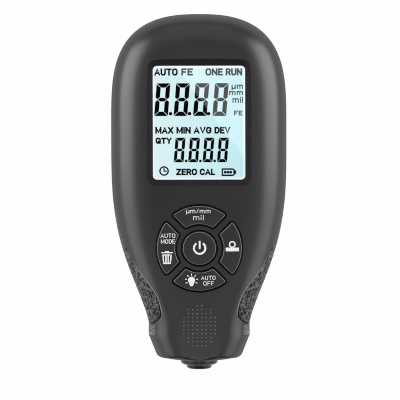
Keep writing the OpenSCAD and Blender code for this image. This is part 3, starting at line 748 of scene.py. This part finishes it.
# %% Pocket beads
BEAD_R = 0.16
BEAD_OUT, BEAD_TURN, BEAD_SUNK = 0.35, 2.1, 0.08
BEAD_TOP, TOP_FADE = -16, 9
BEAD_FOOT, FOOT_FADE = -42, 4


def fade(share):
    return min(1, max(0.1, share))


def bead(name, side):
    y0 = Y_BASE + GRIP_UP - BEAD_OUT
    length = GRIP_L + 2 * BEAD_OUT
    shares = [(1 - math.cos(math.pi * i / 70)) / 2 for i in range(71)]
    loop = [(w, leaf(w, BEAD_TURN)) for w in shares]
    loop += [(w, -angle) for w, angle in reversed(loop)]
    curve = bpy.data.curves.new(name, "CURVE")
    curve.dimensions = "3D"
    curve.bevel_depth = BEAD_R * MM
    curve.bevel_resolution = 2
    line = curve.splines.new("POLY")
    line.points.add(len(loop) - 1)
    line.use_cyclic_u = True
    for point, (w, angle) in zip(line.points, loop):
        y = y0 + length * w
        point.co = [v * MM for v in side_point(y, angle, BEAD_SUNK, side)] + [1]
        point.radius = fade((BEAD_TOP - y) / TOP_FADE) * fade((y - BEAD_FOOT) / FOOT_FADE)
    holder = bpy.data.objects.new(name, curve)
    scene.collection.objects.link(holder)
    graph = bpy.context.evaluated_depsgraph_get()
    mesh = bpy.data.meshes.new_from_object(holder.evaluated_get(graph))
    bpy.data.objects.remove(holder)
    obj = bpy.data.objects.new(name, mesh)
    scene.collection.objects.link(obj)
    return obj


for name, side in (("left_bead", -1), ("right_bead", 1)):
    made = smooth(bead(name, side), 60)
    # The pale colour is a painted highlight
    coat(made, bead_highlight)
    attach(made, "housing")
    print(made.name, "faces:", len(made.data.polygons))

# %% [markdown]
# ## Softened copies
# Small pieces keep their own shape. A copy of the solid gets its loose triangles merged, its
# flat areas joined and a small bevel, because a real edge is never perfectly sharp.

# %% Softened copies
def dress(node, material, width, angle=34, segments=3):
    source = frame["nodes"][node]
    mesh = source.data.copy()
    work = bmesh.new()
    work.from_mesh(mesh)
    bmesh.ops.remove_doubles(work, verts=work.verts, dist=0.002 * MM)
    bmesh.ops.dissolve_limit(work, angle_limit=math.radians(0.6), verts=work.verts, edges=work.edges)
    work.to_mesh(mesh)
    work.free()
    obj = bpy.data.objects.new(node + "_finished", mesh)
    scene.collection.objects.link(obj)
    if width > 0:
        bevel = obj.modifiers.new("soft_edges", "BEVEL")
        bevel.width = width * MM
        bevel.segments = segments
        bevel.limit_method = "ANGLE"
        bevel.angle_limit = math.radians(angle)
        bake(obj)
    smooth(obj, angle)
    coat(obj, material)
    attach(obj, source["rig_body"])
    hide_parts(node)
    return obj


for node, material, slot, width in [
        ("battery_door", abs_housing, "housing", 0.15),
        ("probe_barrel", acetal, "collar", 0.15), ("probe_sensor", sleeve, "sensor", 0.15),
        ("probe_pole", steel, "steel", 0.1), ("case_screws", steel, "steel", 0.1),
        ("battery_a", cell_wrap, "cells", 0.3), ("battery_b", cell_wrap, "cells", 0.3)]:
    made = dress(node, material, width)
    print(made.name, "faces:", len(made.data.polygons))

# %% [markdown]
# ## The keys
# A key is a cap with a narrow round edge, a lip under the shell that keeps it from falling out and a
# plunger that rests on the dome mat. The round edge is coloured pale, a painted highlight that draws a fine
# line, and the side walls get the lighter, almost mirrorless copy of the plastic, painted shading.

# %% Keys
KEY_TOP = 26.7
KEY_GAP = 0.52
KEY_EDGE = 0.28
KEY_LIP = 0.75
LIP_Z0, LIP_Z1 = 22.6, 23.7
STEM_R = 1.8


def key(node, outline, plunger):
    source = frame["nodes"][node]
    foot = min((source.matrix_world @ v.co).z for v in source.data.vertices) / MM
    levels = [(KEY_GAP - KEY_LIP, LIP_Z0), (KEY_GAP - KEY_LIP, LIP_Z1), (KEY_GAP, LIP_Z1)]
    for i in range(5):
        a = math.pi / 8 * i
        levels.append((KEY_GAP + KEY_EDGE * (1 - math.cos(a)), KEY_TOP - KEY_EDGE * (1 - math.sin(a))))
    cap = stack(node + "_cap", [(outline(inset), z) for inset, z in levels], (0, Y_KEYS))
    stem = stack(node + "_stem", [(circle(STEM_R, 32), z) for z in (foot, LIP_Z0 + 0.3)],
                 (plunger[0], plunger[1] + Y_KEYS))
    obj = smooth(carve(cap, [], [stem]), 30)
    coat(obj, key_silicone, key_edge_highlight, painted_shading_abs)
    # Painted highlight on the round edge, painted shading on the side walls
    for face in obj.data.polygons:
        upper = face.center.z > (KEY_TOP - KEY_EDGE) * MM
        face.material_index = 0 if face.normal.z > 0.97 else 1 if upper else 2
    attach(obj, source["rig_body"])
    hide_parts(node)
    print(obj.name, "faces:", len(obj.data.polygons))


key("power_key", lambda inset: circle(POWER_R - inset), (0, 0))
for name, turn in RING_TURNS.items():
    key(name + "_key", lambda inset: turned_outline(fan(inset), turn), ring_middle(turn))

# %% [markdown]
# ## What the keys and the probe press
# Each dome of the silicone mat flattens under its own key, so the mat is a sheet with five separate domes.
# The spring behind the probe shortens towards its end cap as the probe slides in. Here the domes and the
# spring keep their resting shape.

# %% Pressed pieces
MAT_Z, MAT_T, MAT_R = 17.6, 0.8, 14.7
DOME_H = 2.0
DOME_BORE = 1.9


def dome(joint, at):
    base = MAT_Z + MAT_T
    profile = [(DOME_BORE, 0.1), (DOME_BORE, 0), (3, 0), (2.5, 0.7), (2.1, 1.26), (2, 1.36), (1.6, 1.4),
               (1.6, DOME_H - 0.08), (1.52, DOME_H)]
    obj = smooth(stack(joint + "_dome", [(circle(r, 40), base + up) for r, up in profile], at), 35)
    coat(obj, silicone_grey)
    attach(obj, "housing")
    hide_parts("dome_mat")
    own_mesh(obj)


places = [("power_press", (0, Y_KEYS))]
for name, turn in RING_TURNS.items():
    x, y = ring_middle(turn)
    places.append((name + "_press", (x, y + Y_KEYS)))
bores = [stack("bore_cut", [(circle(DOME_BORE, 40), MAT_Z - 1), (circle(DOME_BORE, 40), MAT_Z + 2)], at)
         for joint, at in places]
mat = stack("dome_sheet", [(circle(MAT_R, 96), MAT_Z), (circle(MAT_R, 96), MAT_Z + MAT_T)], (0, Y_KEYS))
smooth(carve(mat, bores))
coat(mat, silicone_grey)
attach(mat, "housing")
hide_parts("dome_mat")
for joint, at in places:
    dome(joint, at)
coil = dress("probe_spring", steel, 0, 60)
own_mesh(coil)
print("domes:", len(places), "spring faces:", len(coil.data.polygons))

# %% [markdown]
# ## Inside pieces
# What lies behind the wall keeps its solid and gets its own finish, since the bay door opens and
# the lens is clear.

# %% Inside pieces
for material, nodes in [
        (tape, ["lens_gasket"]), (lit_glass, ["lcd_glass"]), (diffuser, ["lcd_backlight", "lcd_holder"]),
        (silicone_grey, ["zebra_strip"]), (solder_mask, ["main_board"]),
        (chip_black, ["board_chips", "buzzer", "probe_cap"]), (lead_red, ["probe_lead"]),
        (steel, ["board_screws"]),
        (nickel, ["link_contact", "positive_contact", "negative_contact", "battery_springs"])]:
    for node in nodes:
        coat(frame["nodes"][node], material)
print("inside finishes set")

# %% [markdown]
# ## The lens
# A clear plate glued behind the wall. It is a hair thinner than its solid, so that its faces
# never lie exactly on those of the display glass and the tape.

# %% Lens
LENS_Z = 22.4
LENS_W, LENS_H, LENS_R = 33.2, 40.02, 0.8
LENS_BEVEL = 0.15
whole = round_box(LENS_W, LENS_H, LENS_R)
small = round_box(LENS_W - 2 * LENS_BEVEL, LENS_H - 2 * LENS_BEVEL, LENS_R - 0.1)
lens_layers = [(small, LENS_Z + 0.06), (whole, LENS_Z + 0.2),
               (whole, LENS_Z + 1.05), (small, LENS_Z + 1.18)]
lens = smooth(stack("clear_lens", lens_layers, (0, Y_WINDOW)), 30)
coat(lens, clear_acrylic)
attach(lens, "housing")
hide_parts("window_lens")
print("lens at z", LENS_Z)

# %% [markdown]
# ## The nubs
# Under the keypad an oval field of small nubs helps the thumb. A grid of points is trimmed to an oval and a
# small dome is placed on each point that is left. The domes are coloured pale, a painted highlight.

# %% Nubs
OVAL_DOWN = 0.15
tree = bpy.data.node_groups.new("nub_field", "GeometryNodeTree")
sockets = {}
for title, kind, value in [
        ("Columns", "NodeSocketInt", 8), ("Rows", "NodeSocketInt", 11),
        ("Pitch across", "NodeSocketFloat", 1.42 * MM), ("Pitch along", "NodeSocketFloat", 1.27 * MM),
        ("Half width", "NodeSocketFloat", 5.65 * MM), ("Half height", "NodeSocketFloat", 6.75 * MM),
        ("Nub radius", "NodeSocketFloat", 0.3 * MM), ("Height", "NodeSocketFloat", (BODY_T - 0.08) * MM),
        ("Middle", "NodeSocketFloat", (Y_BASE + 11.8) * MM)]:
    socket = tree.interface.new_socket(title, in_out="INPUT", socket_type=kind)
    sockets[title] = (socket.identifier, value)
tree.interface.new_socket("Geometry", in_out="OUTPUT", socket_type="NodeSocketGeometry")
given = add(tree, "NodeGroupInput").outputs
spans = []
for count, pitch in (("Columns", "Pitch across"), ("Rows", "Pitch along")):
    spans.append(calc(tree, "MULTIPLY", calc(tree, "SUBTRACT", given[count], 1.0), given[pitch]))
grid = add(tree, "GeometryNodeMeshGrid",
           {"Size X": spans[0], "Size Y": spans[1],
            "Vertices X": given["Columns"], "Vertices Y": given["Rows"]})
spot = add(tree, "ShaderNodeSeparateXYZ", {0: add(tree, "GeometryNodeInputPosition").outputs[0]})
lower = calc(tree, "ADD", spot.outputs[1], OVAL_DOWN * MM)
shares = []
for value, size in ((spot.outputs[0], "Half width"), (lower, "Half height")):
    shares.append(calc(tree, "POWER", calc(tree, "DIVIDE", value, given[size]), 2.0))
total = calc(tree, "ADD", shares[0], shares[1])
outside = add(tree, "FunctionNodeCompare", {0: total, 1: 1.0}, operation="GREATER_THAN")
kept = add(tree, "GeometryNodeDeleteGeometry",
           {"Geometry": grid.outputs[0], "Selection": outside.outputs[0]})
nub = add(tree, "GeometryNodeMeshUVSphere", {"Segments": 12, "Rings": 8, "Radius": given["Nub radius"]})
spread = add(tree, "GeometryNodeInstanceOnPoints", {"Points": kept.outputs[0], "Instance": nub.outputs[0]})
plain = add(tree, "GeometryNodeRealizeInstances", {0: spread.outputs[0]})
at = add(tree, "ShaderNodeCombineXYZ", {1: given["Middle"], 2: given["Height"]})
moved = add(tree, "GeometryNodeTransform", {"Geometry": plain.outputs[0], "Translation": at.outputs[0]})
# Painted highlight: the nubs get the pale colour
painted = add(tree, "GeometryNodeSetMaterial", {"Geometry": moved.outputs[0], "Material": pale_highlight_abs})
add(tree, "NodeGroupOutput", {0: painted.outputs[0]})

nubs = bpy.data.objects.new("thumb_nubs", bpy.data.meshes.new("thumb_nubs"))
scene.collection.objects.link(nubs)
field = nubs.modifiers.new("nub_field", "NODES")
field.node_group = tree
for identifier, value in sockets.values():
    field[identifier] = value
smooth(bake(nubs), 60)
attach(nubs, "housing")
print("nub faces:", len(nubs.data.polygons))

# %% [markdown]
# ## Lettering
# Printed legends and display segments are thin plates with a little thickness. Letters are drawn
# like a plotter does it: each letter is a few strokes on a grid whose capital height is 1, and a
# stroke gets a width, square ends and mitred corners. Only plain words of measuring instruments
# are used.

# %% Letters as strokes
O_RIGHT = [(0.42, 1), (0.65, 1), (0.85, 0.75), (0.85, 0.25), (0.65, 0), (0.42, 0)]
O_LEFT = [(0.85 - x, y) for x, y in O_RIGHT]
LETTERS = {
    "A": (0.9, [[(0, 0), (0.45, 1), (0.9, 0)], [(0.2, 0.3), (0.7, 0.3)]]),
    "C": (0.8, [[(0.8, 0.78), (0.6, 1), (0.22, 1), (0, 0.75), (0, 0.25), (0.22, 0), (0.6, 0),
                 (0.8, 0.22)]]),
    "D": (0.78, [[(0, 0), (0, 1), (0.5, 1), (0.78, 0.72), (0.78, 0.28), (0.5, 0), (0.1, 0)]]),
    "E": (0.66, [[(0.66, 1), (0, 1), (0, 0), (0.66, 0)], [(0, 0.52), (0.54, 0.52)]]),
    "F": (0.64, [[(0, 0), (0, 1), (0.64, 1)], [(0, 0.5), (0.5, 0.5)]]),
    "G": (0.82, [[(0.82, 0.8), (0.62, 1), (0.22, 1), (0, 0.75), (0, 0.25), (0.22, 0), (0.6, 0), (0.82, 0.2),
                  (0.82, 0.45), (0.55, 0.45)]]),
    "I": (0.0, [[(0, 0), (0, 1)]]),
    "L": (0.6, [[(0, 1), (0, 0), (0.6, 0)]]),
    "M": (1.0, [[(0, 0), (0, 1)], [(0.02, 1), (0.5, 0.12), (0.98, 1)], [(1, 1), (1, 0)]]),
    "N": (0.8, [[(0, 0), (0, 1)], [(0.02, 1), (0.78, 0)], [(0.8, 0), (0.8, 1)]]),
    "O": (0.85, [O_RIGHT, O_LEFT]),
    "Q": (0.85, [O_RIGHT, O_LEFT, [(0.5, 0.32), (0.85, -0.04)]]),
    "R": (0.74, [[(0, 0), (0, 1), (0.5, 1), (0.72, 0.85), (0.72, 0.6), (0.5, 0.46), (0.1, 0.46)],
                 [(0.42, 0.42), (0.74, 0)]]),
    "T": (0.8, [[(0, 1), (0.8, 1)], [(0.4, 0.9), (0.4, 0)]]),
    "U": (0.8, [[(0, 1), (0, 0.25), (0.2, 0), (0.6, 0), (0.8, 0.25), (0.8, 1)]]),
    "V": (0.86, [[(0, 1), (0.43, 0), (0.86, 1)]]),
    "X": (0.82, [[(0, 0), (0.82, 1)], [(0, 1), (0.82, 0)]]),
    "Y": (0.8, [[(0, 1), (0.4, 0.48), (0.8, 1)], [(0.4, 0.45), (0.4, 0)]]),
    "Z": (0.76, [[(0, 1), (0.76, 1)], [(0.74, 0.96), (0.02, 0.04)], [(0, 0), (0.76, 0)]]),
    "i": (0.0, [[(0, 0), (0, 0.62)], [(0, 0.95), (0, 1)]]),
    "l": (0.0, [[(0, 0), (0, 1)]]),
    "m": (1.05, [[(0, 0), (0, 0.7)], [(0, 0.52), (0.16, 0.7), (0.4, 0.7), (0.52, 0.52), (0.52, 0)],
                 [(0.52, 0.52), (0.68, 0.7), (0.92, 0.7), (1.05, 0.52), (1.05, 0)]]),
    "µ": (0.62, [[(0, 0.7), (0, -0.3)], [(0, 0.2), (0.16, 0), (0.42, 0), (0.62, 0.2)],
                 [(0.62, 0.7), (0.62, 0)]]),
    "/": (0.4, [[(0, 0), (0.4, 1)]]),
}
SPACE = 0.42


def ribbon(line, width):
    points = [Vector(p) for p in line]
    ways = [(b - a).normalized() for a, b in zip(points, points[1:])]
    points[0] = points[0] - ways[0] * width / 2
    points[-1] = points[-1] + ways[-1] * width / 2
    left, right = [], []
    for i, point in enumerate(points):
        before = ways[max(i - 1, 0)]
        after = ways[min(i, len(ways) - 1)]
        way = (before + after).normalized()
        side = Vector((-way.y, way.x)) * width / 2 / max(0.7, way.dot(before))
        left.append(tuple(point + side))
        right.append(tuple(point - side))
    return left + right[::-1]


print("letters:", "".join(LETTERS))

# %% [markdown]
# ## Plates
# An outline becomes a plate between two levels. The strokes of a word overlap where they meet, so
# each next stroke ends a hair higher and no two faces lie in one plane.

# %% Plates
STEP = 0.003


def plate(name, outlines, z0, z1, step=0.0):
    points, faces = [], []
    for k, outline in enumerate(outlines):
        n, first = len(outline), len(points)
        top = z1 + step * (k % 4)
        points += [(x, y, z0) for x, y in outline] + [(x, y, top) for x, y in outline]
        faces += [tuple(first + i for i in range(n)), tuple(first + n + i for i in range(n))]
        for i in range(n):
            k = first + (i + 1) % n
            faces.append((first + i, k, k + n, first + n + i))
    return piece(name, points, faces)


def word(text, x0, x1, y0, y1, z0, z1, weight):
    lines, pen = [], 0.0
    for letter in text:
        width, strokes = LETTERS[letter]
        lines += [[(pen + x, y) for x, y in line] for line in strokes]
        pen += width + SPACE
    span = pen - SPACE
    low = min(y for line in lines for x, y in line)
    high = max(y for line in lines for x, y in line)
    fit_x, fit_y = (x1 - x0 - weight) / span, (y1 - y0 - weight) / (high - low)
    placed = [[(x0 + weight / 2 + x * fit_x, y0 + weight / 2 + (y - low) * fit_y) for x, y in line]
              for line in lines]
    return plate("word", [ribbon(line, weight) for line in placed], z0, z1, STEP)


def joined_piece(name, parts, material):
    work = bmesh.new()
    for part in parts:
        work.from_mesh(part.data)
        bpy.data.objects.remove(part)
    bmesh.ops.remove_doubles(work, verts=work.verts, dist=0.0005 * MM)
    bmesh.ops.recalc_face_normals(work, faces=work.faces)
    mesh = bpy.data.meshes.new(name)
    work.to_mesh(mesh)
    work.free()
    mesh.materials.append(material)
    obj = bpy.data.objects.new(name, mesh)
    scene.collection.objects.link(obj)
    return obj


def band(cx, cy, r0, r1, start, end, count):
    outlines = []
    for i in range(count):
        a, b = [math.radians(lerp(start, end, k / count)) for k in (i, i + 1)]
        corners = ((r0, a), (r1, a), (r1, b), (r0, b))
        outlines.append([(cx + r * math.cos(t), cy + r * math.sin(t)) for r, t in corners])
    return outlines


def bar(x0, x1, y0, y1):
    return [(x0, y0), (x1, y0), (x1, y1), (x0, y1)]


def stroke(x0, y0, x1, y1, width):
    d = Vector((x1 - x0, y1 - y0)).normalized() * width / 2
    return [(x0 - d.y, y0 + d.x), (x0 + d.y, y0 - d.x), (x1 + d.y, y1 - d.x), (x1 - d.y, y1 + d.x)]


def disc(cx, cy, r, count=20):
    return [(cx + x, cy + y) for x, y in circle(r, count)]


print("plates: words, bands, bars, discs")

# %% [markdown]
# ## What the display shows
# All segments are on, as on a gauge that has just been switched on. The digits lean a little,
# and each is seven plates with mitred ends.

# %% Display segments
INK_Z0, INK_Z1 = 22.402, 22.43
LEAN = math.tan(math.radians(4.6))
BOLD, FINE = 0.54, 0.36


def digit(x, y, w, h, t):
    gap = 0.06 * t
    mid = h / 2
    shapes = [[(gap, h), (w - gap, h), (w - t - gap, h - t), (t + gap, h - t)],
              [(t + gap, t), (w - t - gap, t), (w - gap, 0), (gap, 0)],
              [(t + gap, mid + t / 2.4), (w - t - gap, mid + t / 2.4), (w - t / 2 - gap, mid),
               (w - t - gap, mid - t / 2.4), (t + gap, mid - t / 2.4), (t / 2 + gap, mid)]]
    for x0, x1 in ((0, t), (w, w - t)):
        cx = (x0 + x1) / 2
        shapes.append([(x0, h - gap * 2), (x1, h - t - gap), (x1, mid + t / 2 + gap), (cx, mid + gap),
                       (x0, mid + t / 2)])
        shapes.append([(x0, gap * 2), (x1, t + gap), (x1, mid - t / 2 - gap), (cx, mid - gap),
                       (x0, mid - t / 2)])
    return [[(x + px + py * LEAN, y + py) for px, py in shape] for shape in shapes]


outlines = []
for i in range(4):
    outlines += digit(-14.31 + 6.2 * i, 2.2, 4.4, 10.46, 1.4)
    outlines += digit(-8.13 + 4.61 * i, -12.57, 3.22, 7.84, 1.02)
for i in range(3):
    outlines.append(disc(-9.07 + 6.06 * i, 2.95, 0.58))
    outlines.append(disc(-4.13 + 4.56 * i, -12.15, 0.45))
outlines += band(-11.18, -15.34, 1.08, 1.56, 0, 360, 32)
outlines += [ribbon([(-11.18, -14.55), (-11.18, -15.4), (-10.45, -15.4)], 0.4)]
outlines += [bar(7.18, 10.9, -15.02, -14.52), bar(7.18, 10.9, -17.01, -16.5),
             bar(7.18, 7.63, -16.5, -15.02), bar(11.4, 11.85, -16.3, -15.22),
             [(10.9, -14.52), (10.9, -17.01), (11.4, -16.6), (11.4, -14.93)]]
outlines += [disc(8.3 + 0.9 * i, -15.77, 0.46) for i in range(3)]
outlines = [[(x, y + Y_WINDOW) for x, y in outline] for outline in outlines]
parts = [plate("segments", outlines, INK_Z0, INK_Z1)]
for text, x0, x1, y0, y1, weight in [
        ("AUTO", -14.25, -6.76, 15.1, 17.4, BOLD), ("FE", -5.6, -1.9, 15.1, 17.4, BOLD),
        ("ONE", 2.08, 7.7, 15.1, 17.4, BOLD), ("RUN", 8.55, 13.83, 15.1, 17.4, BOLD),
        ("µm", 10.41, 14.11, 10.38, 12.2, FINE), ("mm", 9.64, 14.11, 8.85, 10.15, FINE),
        ("mil", 10.7, 14.11, 6.39, 8.33, FINE), ("FE", 11.2, 13.9, 2.34, 3.9, FINE),
        ("MAX", -13.97, -8.18, -3.45, -1.28, BOLD), ("MIN", -7.21, -2.62, -3.45, -1.28, BOLD),
        ("AVG", -1.71, 3.99, -3.45, -1.28, BOLD), ("DEV", 4.93, 10.0, -3.45, -1.28, BOLD),
        ("QTY", -13.88, -8.75, -6.72, -4.7, BOLD), ("ZERO", -7.33, -0.63, -16.7, -14.6, BOLD),
        ("CAL", 0.2, 5.13, -16.7, -14.6, BOLD)]:
    parts.append(word(text, x0, x1, y0 + Y_WINDOW, y1 + Y_WINDOW, INK_Z0, INK_Z1, weight))
segments = joined_piece("display_segments", parts, segment_ink)
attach(segments, "housing")
print("segment faces:", len(segments.data.polygons))

# %% [markdown]
# ## Key legends
# Each legend is printed on its key and travels with it when the key is pressed.

# %% Key legends
PRINT_Z0, PRINT_Z1 = KEY_TOP - 0.005, KEY_TOP + 0.02
KEY_PEN = 0.18


def legend(name, body, words, outlines):
    parts = [word(text, cx - w / 2, cx + w / 2, cy - h / 2 + Y_KEYS, cy + h / 2 + Y_KEYS,
                  PRINT_Z0, PRINT_Z1, KEY_PEN) for text, cx, cy, w, h in words]
    if outlines:
        moved = [[(x, y + Y_KEYS) for x, y in outline] for outline in outlines]
        parts.append(plate(name, moved, PRINT_Z0, PRINT_Z1, STEP))
    obj = joined_piece(name, parts, legend_ink)
    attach(obj, body)
    return obj


power_icon = band(0.08, 0.08, 1.5, 2.1, 125, 415, 40) + [bar(-0.21, 0.37, -0.2, 2.35)]
bin_icon = [bar(-12.05, -8.4, -1.52, -1.18), bar(-10.85, -9.6, -1.18, -0.85),
            [(-11.75, -1.9), (-11.32, -1.9), (-11.05, -4.94), (-11.42, -4.94)],
            [(-9.14, -1.9), (-8.71, -1.9), (-9.04, -4.94), (-9.41, -4.94)],
            bar(-11.1, -9.36, -4.94, -4.56), bar(-10.8, -10.38, -4.6, -2.2), bar(-10.08, -9.66, -4.6, -2.2),
            bar(-11.6, -8.86, -2.22, -1.9)]
zero_icon = band(10.4, 1.2, 0.68, 1.08, 0, 360, 32) + [bar(8.35, 12.5, -0.95, 0.2)]
BULB = (-2.5, -10.07)
bulb_icon = [disc(BULB[0], BULB[1], 1.1, 28),
             [(BULB[0] - 0.95, BULB[1] - 0.5), (BULB[0] + 0.95, BULB[1] - 0.5),
              (BULB[0] + 0.45, BULB[1] - 1.85), (BULB[0] - 0.45, BULB[1] - 1.85)]]
for turn in (-28, 10, 50, 90, 130, 170, 208):
    c, s = math.cos(math.radians(turn)), math.sin(math.radians(turn))
    near, far = [(BULB[0] + r * c, BULB[1] + r * s) for r in (1.42, 2.1)]
    bulb_icon.append(stroke(*near, *far, 0.26))
legend("power_legend", "power", [], power_icon)
legend("units_legend", "units",
       [("µm/mm", -0.3, 11.62, 7.66, 1.75), ("mil", -0.3, 9.76, 3.3, 1.6)], [])
legend("mode_legend", "mode",
       [("AUTO", -9.95, 4.01, 4.66, 1.38), ("MODE", -9.95, 2.19, 4.4, 1.3)], bin_icon)
legend("zero_legend", "zero", [], zero_icon)
legend("light_legend", "light",
       [("AUTO", 2.8, -9.34, 4.54, 1.32), ("OFF", 2.86, -11.08, 3.3, 1.32)], bulb_icon)
print("legends on five keys")

# %% [markdown]
# ## Floor and light
# The floor is white. Seen directly, or in a mirror or through glass, most of its brightness is
# its own, so that it stays white, and a part of it is lit by the lamps and takes the shadow. The
# room is pale near the floor and dark overhead, so the display stays black where no lamp is mirrored.

# %% Floor
FLOOR_HALF, FLOOR_Z = 1500, -0.05
OWN_WHITE = 0.97
floor_paper, tree, shader = new_material("white_paper_sweep")
shader.inputs["Base Color"].default_value = linear("#f4f4f4")
shader.inputs["Roughness"].default_value = 0.9
rays = add(tree, "ShaderNodeLightPath").outputs
seen = calc(tree, "MAXIMUM", rays["Is Camera Ray"], rays["Is Glossy Ray"])
seen = calc(tree, "MAXIMUM", seen, rays["Is Transmission Ray"])
part = calc(tree, "MULTIPLY", seen, OWN_WHITE)
white = add(tree, "ShaderNodeEmission", {"Color": (1, 1, 1, 1), "Strength": 1.0})
both = add(tree, "ShaderNodeMixShader", {0: part, 1: shader.outputs[0], 2: white.outputs[0]})
tree.links.new(both.outputs[0], tree.nodes["Material Output"].inputs["Surface"])
corners = bar(-FLOOR_HALF, FLOOR_HALF, -FLOOR_HALF, FLOOR_HALF)
floor = piece("paper_floor", [(x, y, FLOOR_Z) for x, y in corners], [(0, 1, 2, 3)])
coat(floor, floor_paper)

world = bpy.data.worlds.new("studio")
scene.world = world
world.use_nodes = True
sky = world.node_tree
rays = add(sky, "ShaderNodeLightPath").outputs
way = add(sky, "ShaderNodeSeparateXYZ", {0: add(sky, "ShaderNodeTexCoord").outputs["Generated"]})
room = add(sky, "ShaderNodeMapRange", {0: way.outputs[2], 1: 0.05, 2: 0.65, 3: 0.5, 4: 0.03})
level = calc(sky, "MAXIMUM", room.outputs[0], rays["Is Camera Ray"])
sky.links.new(level, sky.nodes["Background"].inputs["Strength"])
sky.nodes["Background"].inputs["Color"].default_value = (1, 1, 1, 1)
print("floor and surroundings are white")

# %% [markdown]
# ## Lamps
# Soft boxes low on both sides draw the pale band along the rolled edges. They are brighter beside
# the head than beside the foot, and long boxes higher up carry the band on towards the face. Two
# boxes overhead light the face at the head and at the foot, and a low one beyond the head draws
# the upper edges of the keys. A small slanted box overhead is seen in the lens as a veil of glare.

# %% Lamps
def soft_box(name, at, aim, width, height, radiance, spin=0.0):
    lamp = bpy.data.lights.new(name, "AREA")
    lamp.shape = "RECTANGLE"
    lamp.size = width * MM
    lamp.size_y = height * MM
    lamp.energy = radiance * math.pi * width * height * MM * MM
    obj = bpy.data.objects.new(name, lamp)
    way = Vector(aim) - Vector(at)
    turn = Matrix.Rotation(math.radians(spin), 4, "Z")
    if way.xy.length > 1:
        turn = way.to_track_quat("-Z", "Y").to_matrix().to_4x4() @ turn
    obj.matrix_world = Matrix.Translation(Vector(at) * MM) @ turn
    obj.visible_camera = False
    scene.collection.objects.link(obj)


soft_box("glare_box", (40.5, 87.5, 700), (40.5, 87.5, 0), 150, 60, 1.2, -52.7)
soft_box("crown_box", (0, 195, 700), (0, 195, 0), 300, 130, 0.5)
soft_box("foot_box", (0, -245, 700), (0, -245, 0), 300, 260, 1.15)
soft_box("head_box", (0, 430, 380), (0, 30, 15), 360, 420, 0.6)
for side, name in ((-1, "left"), (1, "right")):
    soft_box(name + "_box", (side * 410, 230, 280), (0, 230, 15), 420, 390, 3.35)
    soft_box(name + "_low_box", (side * 410, -150, 280), (0, -150, 15), 340, 390, 1.4)
    soft_box(name + "_fill_box", (side * 235, -60, 640), (0, -60, 15), 560, 150, 0.45)
